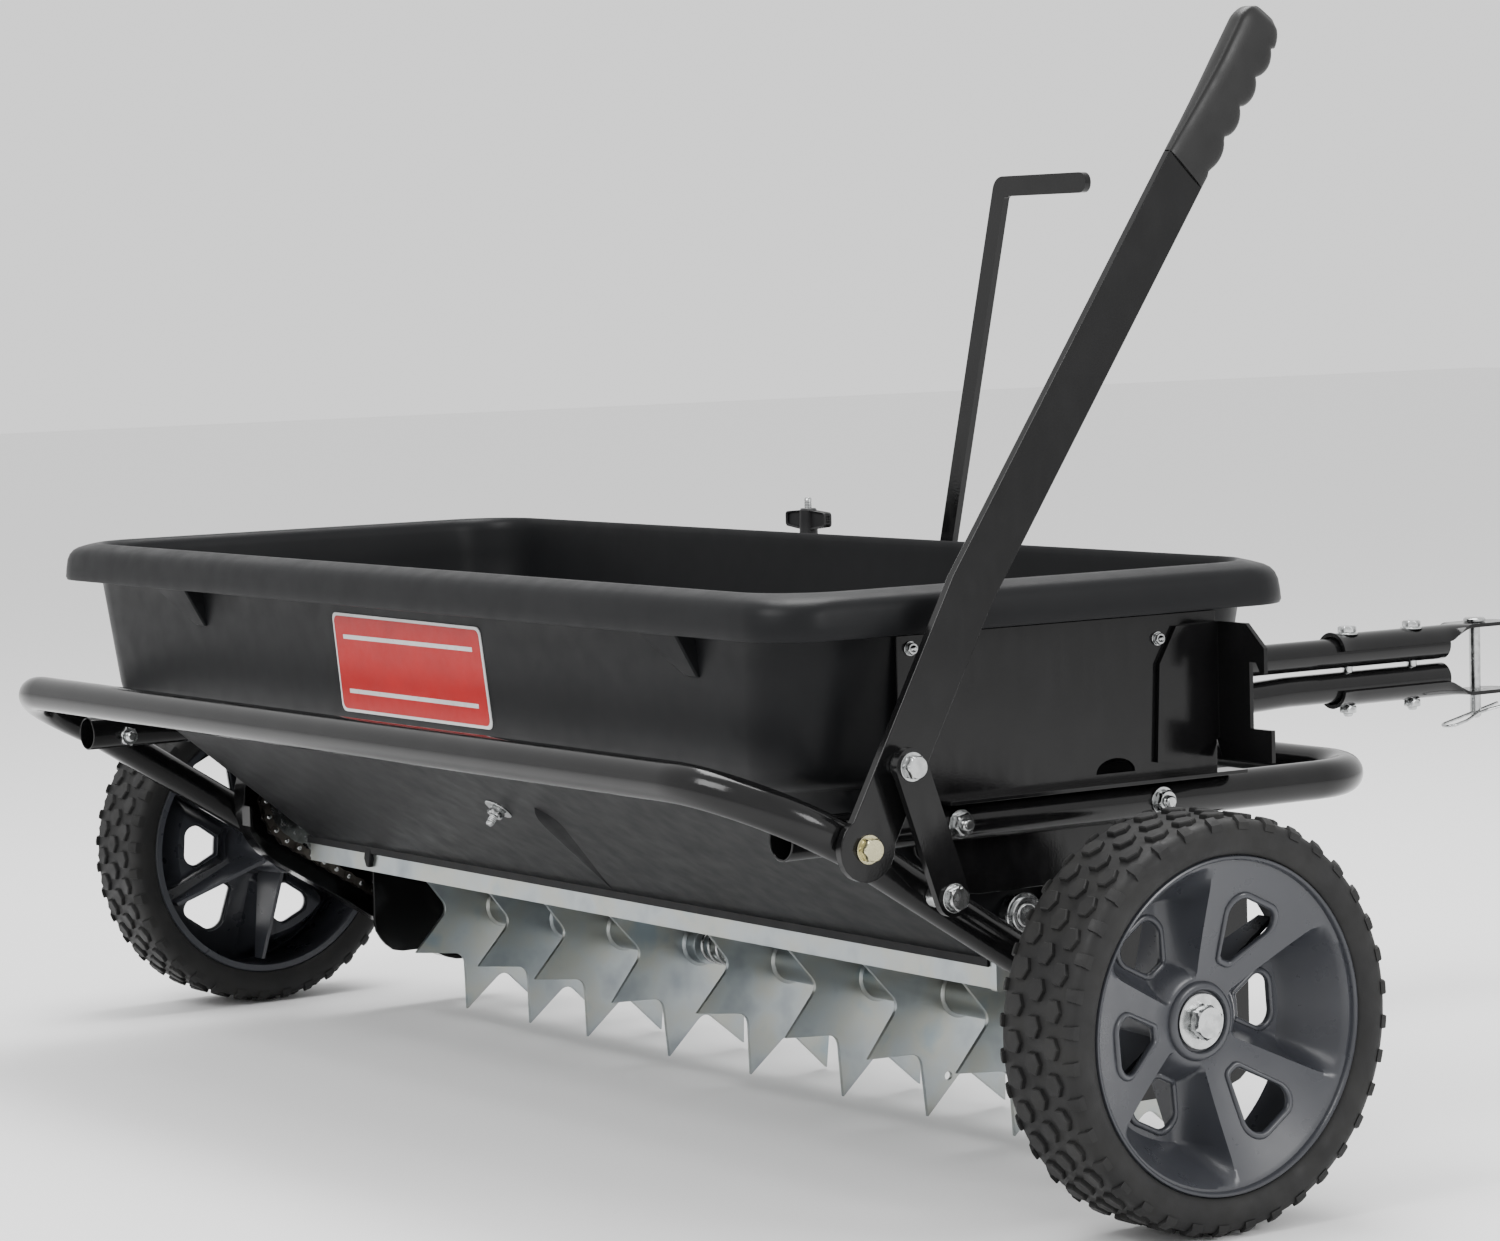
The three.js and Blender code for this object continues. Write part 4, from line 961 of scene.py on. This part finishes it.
def wheel_face():
    """The moulded face, a sheet over the face height with its windows cut out."""
    rim, bore, windows, creases = circle(FACE_R, 120), circle(FACE_BORE, 36), wheel_windows(), lobe_edges()
    points, edges = [], []
    for loop in (rim, bore, *windows):
        add_line(points, edges, loop)
    for crease in creases:
        add_line(points, edges, crease, closed=False)
    near = [place for line in (*windows, *creases) for place in line]
    for step in range(1, 60):
        radius = FACE_BORE + step * 1.5
        for y, z in circle(radius, 240 if radius > 60 else 144 if radius > 24 else 72):
            if not any(abs(y - near_y) + abs(z - near_z) < 1.4 for near_y, near_z in near):
                points.append(Vector((y, z)))
    flat, cells = cells_within(points, edges, rim, [bore, *windows], TRIANGLES)
    vertices = [(face_height(p.x, p.y) - drop, p.x, p.y) for drop in (0, FACE_WALL) for p in flat]
    return vertices, two_sided(len(flat), cells)


def window_borders():
    """Raised borders round the windows."""
    section = [(-2.6, -1.5), (-2.4, 0.9), (-1.2, 1.7), (0.6, 1.6), (1.6, 0.6), (1.9, -1.5)]
    parts = []
    for loop in wheel_windows():
        middle = centre_of(loop)
        rings = []
        for place in loop:
            out = (Vector(place) - middle).normalized()
            here = Vector(place) + out * 0.6
            height = face_height(here.x, here.y)
            rings.append([(height + lift, *(here + out * across)) for across, lift in section])
        parts.append(loft([*rings, rings[0]], caps=False))
    return parts


def rim_and_hub():
    """The rim with its beads, the hub, and the ribs between them behind the face."""
    rim = lathe((0, 0, 0), TO_LEVER, RIM_PROFILE, 120, closed=True)
    hub = lathe((0, 0, 0), TO_LEVER, HUB_PROFILE, 64, closed=True)
    ribs = []
    for i in range(6):
        along = Vector(polar(1, math.radians(34.5 + 60 * i)))
        across = Vector((-along.y, along.x)) * 1.5
        corners = [along * 19 - across, along * 19 + across, along * 92 + across, along * 92 - across]
        back = [(x, *corner) for x, corner in zip((-55, -55, -28, -28), corners)]
        ribs.append(loft([back, [(-16, *corner) for corner in corners]]))
    return [rim, hub, *ribs]


def lug(outline, turn, height):
    """A block on the tyre, from an outline of (across, around) places about a turn."""
    middle_x = sum(x for x, _ in outline) / len(outline)
    middle_arc = sum(arc for _, arc in outline) / len(outline)
    rings = []
    for shrink, lift in ((1.06, -1.2), (1.0, height - 0.7), (0.9, height), (0.3, height)):
        ring = []
        for x, arc in outline:
            x = middle_x + (x - middle_x) * shrink
            angle = turn + (middle_arc + (arc - middle_arc) * shrink) / WHEEL_R
            past_shoulder = max(abs(x) - SHOULDER_X, 0)
            radius = CASING_R - past_shoulder * past_shoulder * SHOULDER_DROP + lift
            ring.append((x, *polar(radius, angle)))
        rings.append(ring)
    return loft(rings)


def tread():
    """Hexagonal lugs in three staggered rows, and blocks along both shoulders."""
    six = [(LUG_X * c, LUG_ARC * n) for c, n in circle(1, 6)]
    step = 2 * math.pi / LUGS_AROUND
    parts = []
    for i in range(LUGS_AROUND):
        for row, shift in ((-1, 0), (0, 0.5), (1, 0)):
            parts.append(lug([(row * ROW_GAP + x, arc) for x, arc in six], step * (i + shift), 3.0))
        for side in (-1, 1):
            block = [(side * 28.0, -3.6), (side * 34.6, -4.2), (side * 34.6, 4.2), (side * 28.0, 3.6)]
            parts.append(lug(block, step * (i + 0.5), 2.4))
    return parts


def tyre_casing():
    """The tyre under its lugs, from bead to bead."""
    left = [(-x, radius) for x, radius in reversed(SHOULDER_PROFILE)]
    crown = [(-14, CASING_R), (0, CASING_R), (14, CASING_R)]
    return lathe((0, 0, 0), TO_LEVER, [*left, *crown, *SHOULDER_PROFILE], 120, closed=True)


def wheel(name, side):
    """One wheel: tyre, face, rim and axle bolt, turned to face outwards on its side."""
    def placed(*parts):
        return [
            ([(side * (WHEEL_X + x), side * y, WHEEL_Z + z) for x, y, z in vertices], faces)
            for vertices, faces in parts
        ]

    body = f"wheel_set_{name}"
    piece(f"tyre_{name}_casing", placed(tyre_casing()), RUBBER, body, [f"tyre_{name}"])
    piece(f"tyre_{name}_tread", placed(*tread()), RUBBER, body, angle=24)
    piece(f"wheel_{name}_face", placed(wheel_face()), WHEEL_PLASTIC, body, [f"wheel_{name}"], angle=50)
    piece(f"wheel_{name}_borders", placed(*window_borders()), WHEEL_PLASTIC, body, angle=60)
    piece(f"wheel_{name}_rim", placed(*rim_and_hub()), WHEEL_PLASTIC, body, angle=40)
    origin, out = (0, 0, WHEEL_Z), (side, 0, 0)
    piece(f"axle_bolt_{name}_set", [
        hexagon(origin, out, (600.8, 608.2), 19, 0.35),
        ring_solid(origin, out, (598.3, 600.6), 17.2, 6.4, 40, 0.5),
        lathe(origin, out, [(487, AXLE_R), (600.6, AXLE_R)], 20),
    ], ZINC, "wheel_frame", [f"axle_bolt_{name}"])
    sleeve = ring_solid(origin, out, (508, 529.7), 11, 6.7)
    piece(f"axle_sleeve_{name}", [sleeve], ZINC, "wheel_frame", [f"axle_spacer_{name}"])


# ---------------------------------------------------------------- stars and drive

# One tooth of a sprocket: share of the pitch from its middle, and distance from the pitch circle.
TOOTH = ((-0.5, -3.4), (-0.34, -2.6), (-0.2, 0.6), (-0.08, 3.6), (0.08, 3.6), (0.2, 0.6), (0.34, -2.6))


def star_outline(index):
    """Eight points with rounded valleys between them."""
    turn = math.radians(STAR_TURN[index]) - math.pi / 2

    def at(radius, step):
        return Vector(polar(radius, turn + step * math.pi / 8, (STAR_Y, STAR_Z)))

    points = []
    for i in range(8):
        tip, valley, following = at(STAR_TIP, 2 * i), at(STAR_ROOT, 2 * i + 1), at(STAR_TIP, 2 * i + 2)
        points.append(tuple(tip))
        start, end = valley.lerp(tip, 0.2), valley.lerp(following, 0.2)
        for k in range(7):
            t = k / 6
            points.append(tuple(start * (1 - t) ** 2 + valley * (2 * t * (1 - t)) + end * t ** 2))
    return points


def hub_span(index):
    """Where a star's sleeve runs: up to the next star, or short where the spring or the end follows."""
    start = STAR_X[index] - 14
    if index in (3, len(STAR_X) - 1):
        return start, STAR_X[index] + 14
    return start, STAR_X[index + 1] - 14.5


def stars():
    """Toothed plates on one axle, each with its welded sleeve; one has a drilled tooth."""
    origin = (0, STAR_Y, STAR_Z)
    for index, x in enumerate(STAR_X):
        holes = [circle(SHAFT_BORE, 24, (STAR_Y, STAR_Z))]
        if index == 6:
            holes.append(circle(3, 16, (110, 27)))
        parts = [
            sheet("x", star_outline(index), (x - PLATE_HALF, x + PLATE_HALF), holes),
            ring_solid(origin, TO_LEVER, hub_span(index), SLEEVE_R, SHAFT_BORE, 32, 0.5),
        ]
        for side in (-1, 1):
            face = side * x
            bead = [(face + 1.4, SLEEVE_R), (face + 1.4, 17.6), (face + 2.4, 16.8), (face + 3.6, SLEEVE_R)]
            parts.append(lathe(origin, (side, 0, 0), bead, 32, closed=True))
        piece(f"star_{index + 1}_plate", parts, GALVANISED, "star_rotor", [f"star_{index + 1}"], bevel=0.35)


def spring():
    """A coil round the axle between two sleeves, wound closer at its ends."""
    turns, per_turn, radius = 8, 24, 12
    low, high = hub_span(3)[1] + 2.4, hub_span(4)[0] - 2.4
    path = []
    for i in range(turns * per_turn + 1):
        share = i / (turns * per_turn)
        x = low + (high - low) * (share - 0.035 * math.sin(2 * math.pi * share))
        path.append(Vector((x, *polar(radius, 2 * math.pi * i / per_turn, (STAR_Y, STAR_Z)))))
    piece("spring_coil", [swept(path, circle(1.6, 10))], ZINC, "star_rotor", ["spring"], angle=70)


def pitch_radius(teeth):
    """The radius of a sprocket's pitch circle."""
    return PITCH / 2 / math.sin(math.pi / teeth)


def sprocket(y, z, teeth):
    """A toothed plate with its hub."""
    radius = pitch_radius(teeth)
    outline = []
    for i in range(teeth):
        for offset, reach in TOOTH:
            outline.append(polar(radius + reach, 2 * math.pi * (i + offset) / teeth, (y, z)))
    plate = sheet("x", outline, (CHAIN_X - 1.6, CHAIN_X + 1.6), [circle(SHAFT_BORE, 24, (y, z))])
    return [plate, ring_solid((0, y, z), TO_LEVER, (CHAIN_X - 5, CHAIN_X + 7), 14, SHAFT_BORE)]


def belt_path():
    """The chain's pin line round both sprockets, as a function of distance, and its length."""
    first, second = Vector((AGITATOR_Y, AGITATOR_Z)), Vector((STAR_Y, STAR_Z))
    r1, r2 = pitch_radius(DRIVEN_TEETH), pitch_radius(DRIVER_TEETH)
    run = second - first
    toward = math.atan2(run.y, run.x)
    lean = math.acos((r1 - r2) / run.length)
    straight = run.length * math.sin(lean)
    wrap_1, wrap_2 = 2 * (math.pi - lean) * r1, 2 * lean * r2
    total = wrap_1 + wrap_2 + 2 * straight

    def on_first(angle):
        return first + Vector(polar(1, angle)) * r1

    def on_second(angle):
        return second + Vector(polar(1, angle)) * r2

    def at(distance):
        distance %= total
        if distance < wrap_1:
            return on_first(toward + lean + distance / r1)
        distance -= wrap_1
        if distance < straight:
            return on_first(toward - lean).lerp(on_second(toward - lean), distance / straight)
        distance -= straight
        if distance < wrap_2:
            return on_second(toward - lean + distance / r2)
        distance -= wrap_2
        return on_second(toward + lean).lerp(on_first(toward + lean), distance / straight)

    return at, total


def chain():
    """Roller chain: waisted plates in pairs, rollers and bright pin ends."""
    at, total = belt_path()
    count = 2 * round(total / PITCH / 2)
    pin_profile = [(CHAIN_X - 4.9, 1.2), (CHAIN_X - 4.6, 1.8), (CHAIN_X + 4.6, 1.8), (CHAIN_X + 4.9, 1.2)]
    roller_profile = [(CHAIN_X - 1.7, 3.6), (CHAIN_X + 1.7, 3.6)]
    plates, pins = [], []
    for i in range(count):
        here, there = at(total * i / count), at(total * (i + 1) / count)
        along = (there - here).normalized()
        side = Vector((-along.y, along.x))
        waist = here + along * ((there - here).length / 2)
        outline = []
        for end, way in ((here, -1), (there, 1)):
            for k in range(9):
                ahead, aside = polar(LINK_R, math.pi * k / 8 - way * math.pi / 2)
                outline.append(end + along * ahead + side * aside)
            outline.append(waist + side * (way * LINK_WAIST))
        gap = 3.4 if i % 2 else 2.2
        for x in (CHAIN_X - gap, CHAIN_X + gap):
            plates.append(loft([[(x + shift, *p) for p in outline] for shift in (-0.5, 0.5)]))
        pins.append(lathe((0, *here), TO_LEVER, pin_profile, 12))
        plates.append(lathe((0, *here), TO_LEVER, roller_profile, 14))
    piece("chain_links", plates, CHAIN_STEEL, "frame", ["chain"], angle=30)
    piece("chain_pins", pins, ZINC, "frame", angle=30)


def shaft(y, z):
    """An axle between the side plates, chamfered at its ends."""
    return lathe((0, y, z), TO_LEVER, [(-470, 6.8), (-469, SHAFT_R), (455, SHAFT_R), (456, 6.8)], 28)


def drive():
    """The star axle, the agitator with its crossed fingers, their sprockets and their bushings."""
    piece("star_axle", [shaft(STAR_Y, STAR_Z)], GALVANISED, "star_rotor", ["star_shaft"])
    parts = sprocket(STAR_Y, STAR_Z, DRIVER_TEETH)
    piece("star_sprocket_plate", parts, ZINC, "star_rotor", ["star_sprocket"], bevel=0.2)
    parts = [shaft(AGITATOR_Y, AGITATOR_Z)]
    for i in range(8):
        direction = TO_HITCH if i % 2 else UP
        finger = [(-23, 1.8), (-22, 3), (22, 3), (23, 1.8)]
        parts.append(lathe((-385 + i * 110, AGITATOR_Y, AGITATOR_Z), direction, finger, 14))
    parts += sprocket(AGITATOR_Y, AGITATOR_Z, DRIVEN_TEETH)
    piece("agitator_set", parts, ZINC, "agitator_rotor", ["agitator"], bevel=0.2)
    for name, side in SIDES:
        for held, y, z, start in (("star", STAR_Y, STAR_Z, 443), ("agitator", AGITATOR_Y, AGITATOR_Z, 439.5)):
            piece(f"{held}_bush_{name}", [
                ring_solid((0, y, z), (side, 0, 0), (start, 455), 11, SHAFT_BORE, 32, 0.6),
                ring_solid((0, y, z), (side, 0, 0), (450.3, 453), 14, 8.4, 32, 0.5),
            ], ZINC, "frame", [f"{held}_bushing_{name}"])


# ---------------------------------------------------------------- flow control


def flow_control():
    """The flow lever's bent bar, and the flow stop's stud with its wing knob."""
    line = strip([(ARM_X, 268), (ARM_X, 300), (161, 637), (256, 637)], 14)
    upper = sheet("y", rounded(line, [1, 9, 11, 6.6, 6.6, 3, 9, 1]), (ARM_Y - 2.5, ARM_Y + 2.5))
    path = bent([(ARM_X, 22, 158), (ARM_X, 48, 158), (ARM_X, ARM_Y, 262), (ARM_X, ARM_Y, 269)], [6, 12], 8)
    leg = swept(path, [(-7, -2.5), (7, -2.5), (7, 2.5), (-7, 2.5)])
    piece("flow_lever_bar", [upper, leg], BLACK_PAINT, "flow_lever", ["flow_arm"], bevel=0.8)
    x, y = KNOB
    foot = rounded([(x - 8, y - 4.4), (x + 8, y - 4.4), (x + 8, y + 6), (x - 8, y + 6)], 1)
    piece("stop_stud", [
        thread((x, y, 0), UP, (372, 414.5), 3, 1.2),
        loft([[(*place, z) for place in foot] for z in (371.7, 377.7)]),
    ], ZINC, "stop", ["flow_stop"])
    parts = [lathe((x, y, 0), UP, [
        (381.4, 8.4), (382.2, 8.9), (383.4, 8.5), (386, 6.9), (398, 6.6), (405.2, 6.4), (406.4, 5.4)], 32)]
    for side in (-1, 1):
        wing = [(side * 4, 390.6), (side * 24.8, 393), (side * 24.8, 403.6), (side * 4, 405.2)]
        wing = rounded(wing, [0.5, 2.8, 2.8, 0.5])
        parts.append(sheet("y", [(x + u, z) for u, z in wing], (y - 1.8, y + 1.8)))
        middle = Vector((side * 14.4, 398.2))
        border = []
        for u, z in wing:
            inner_u, inner_z = Vector((u, z)) + (middle - Vector((u, z))).normalized() * 2.2
            border.append([(x + u, y - 3.4, z), (x + u, y + 3.4, z),
                           (x + inner_u, y + 3.0, inner_z), (x + inner_u, y - 3.0, inner_z)])
        parts.append(loft([*border, border[0]], caps=False))
    piece("knob_wings", parts, KNOB_PLASTIC, "knob", ["wing_knob"], bevel=0.35)


# ---------------------------------------------------------------- hitch

STRAP_REAR, STRAP_NOSE, STRAP_HALF = 650, 820, 16
FLATTENS_FROM, FLATTENS_OVER = 764, 24
STRAP_BORE, STRAP_THICK = 12.3, 3.0


def strap(z, way):
    """A strap that is half-round over its tube and flat out to the pin, with a round nose."""
    stations = [STRAP_REAR, 651.5, *range(655, 766, 6), *[767.5 + 1.5 * i for i in range(16)]]
    stations += [800, 806, 812]
    stations += [STRAP_NOSE + STRAP_HALF * math.sin(math.pi / 2 * i / 10) for i in range(11)]
    rings = []
    for y in stations:
        flat = smooth((y - FLATTENS_FROM) / FLATTENS_OVER)
        past_nose = max(y - STRAP_NOSE, 0)
        half = max(math.sqrt(max(STRAP_HALF ** 2 - past_nose ** 2, 0)), 0.4)
        flare = 1.6 * max(0, 1 - (y - STRAP_REAR) / 9)
        outer, inner = [], []
        for k in range(17):
            t = k / 8 - 1
            angle = t * math.radians(80)
            for side, radius in ((outer, STRAP_BORE + STRAP_THICK), (inner, STRAP_BORE)):
                round_x, round_z = (radius + flare) * math.sin(angle), (radius + flare) * math.cos(angle)
                x = round_x + (t * half - round_x) * flat
                side.append((x, y, z + way * (round_z + (radius - round_z) * flat)))
        rings.append(outer + inner[::-1])
    return loft(rings)


def hitch():
    """Two straps bolted over the tow tubes, the hitch pin through them, and its hairpin clip."""
    for name, z, way, low in (
        ("upper", TOW_UPPER_Z, 1, STRAP_TOP - 3), ("lower", TOW_LOWER_Z, -1, STRAP_LOW),
    ):
        piece(f"hitch_{name}_strap", [strap(z, way)], BLACK_PAINT, "frame", [f"hitch_strap_{name}"],
              bevel=0.4, angle=45)
        lining = ring_solid((0, HITCH_PIN_Y, 0), UP, (low - 0.05, low + 3 + 0.05), 6.2, 4.8, 28, 0.1)
        piece(f"hitch_{name}_hole", [lining], ZINC, "frame")
    for name, y in zip(("rear", "front"), HITCH_BOLT_Y):
        parts = bolt((0, y, 0), UP, STRAP_TOP + 0.3, STRAP_LOW - 0.3, head=5.3, tail=3)
        piece(f"hitch_bolt_{name}_set", parts, ZINC, "frame", [f"hitch_bolt_{name}"])
    shank = [(207.6, 3.0), (209.2, 4.5), (STRAP_TOP + 0.3, 4.5)]
    head = [(STRAP_TOP + rise, radius) for rise, radius in (
        (0.4, 8.4), (0.9, 9.0), (2.6, 9.0), (3.6, 7.8), (3.8, 5.0))]
    piece("pin_body", [lathe((0, HITCH_PIN_Y, 0), UP, shank + head, 32)], ZINC, "pin", ["hitch_pin"])
    wire = [(0, 25), (0, -41), (14, -41), (14, -24), (7.2, -6), (7.2, 6), (13, 21)]
    fall, rise = math.cos(CLIP_DROOP), math.sin(CLIP_DROOP)
    path = bent([(x, HITCH_PIN_Y + along * fall, CLIP_Z + along * rise) for x, along in wire], 6.5, 10)
    piece("clip_wire", [swept(path, circle(1.25, 12), side=UP)], ZINC, "clip", ["hairpin"], angle=60)


# ---------------------------------------------------------------- stage


def stage():
    """A pale floor, a white sky and three soft lamps, as in a studio."""
    bpy.ops.mesh.primitive_plane_add(size=30, location=(0, 0, -0.0005))
    floor = bpy.context.object
    floor.name = "floor"
    pale, *_ = shader("pale_floor", Roughness=0.75, Base_Color=(0.86, 0.86, 0.86, 1))
    floor.data.materials.append(pale)
    world = bpy.data.worlds.new("studio")
    world.use_nodes = True
    sky = world.node_tree.nodes["Background"]
    sky.inputs["Color"].default_value = (1, 1, 1, 1)
    sky.inputs["Strength"].default_value = 1.25
    bpy.context.scene.world = world
    for name, place, aim, size, power in (
        ("key", (0.6, -2.6, 2.6), (0, -0.2, 0.25), 1.4, 70),
        ("side", (3.2, 0.6, 1.6), (0.3, -0.2, 0.2), 1.0, 40),
        ("top", (-0.4, 0.4, 2.8), (0, -0.1, 0.3), 1.6, 90),
    ):
        light = bpy.data.lights.new(name, "AREA")
        light.shape = "SQUARE"
        light.size = size
        light.energy = power
        lamp = bpy.data.objects.new(name, light)
        lamp.location = place
        lamp.rotation_euler = (Vector(aim) - Vector(place)).to_track_quat("-Z", "Y").to_euler()
        bpy.context.scene.collection.objects.link(lamp)


def camera():
    """The viewpoint: behind the lever side, slightly above the hopper's rim."""
    yaw, pitch, roll = 0.96731, -0.07665, -0.02625
    forward = Vector((-math.sin(yaw) * math.cos(pitch), math.cos(yaw) * math.cos(pitch), math.sin(pitch)))
    right = Vector((math.cos(yaw), math.sin(yaw), 0))
    above = right.cross(forward)
    across = right * math.cos(roll) + above * math.sin(roll)
    upward = above * math.cos(roll) - right * math.sin(roll)
    lens = bpy.data.cameras.new("camera")
    lens.lens = 106.27
    lens.sensor_width = 36
    lens.clip_end = 100
    made = bpy.data.objects.new("camera", lens)
    turn = Matrix((across, upward, -forward)).transposed().to_4x4()
    made.matrix_world = Matrix.Translation(spot(2611.3, -1707.0, 576.4)) @ turn
    bpy.context.scene.collection.objects.link(made)
    bpy.context.scene.camera = made


camera()
stage()
hopper()
hopper_crease()
gussets()
label()
bottom_bar()
frame_tubes()
tow_bar()
brackets()
small_bolts()
lever()
grip()
for side_name, side_way in SIDES:
    wheel(side_name, side_way)
stars()
spring()
chain()
drive()
flow_control()
hitch()
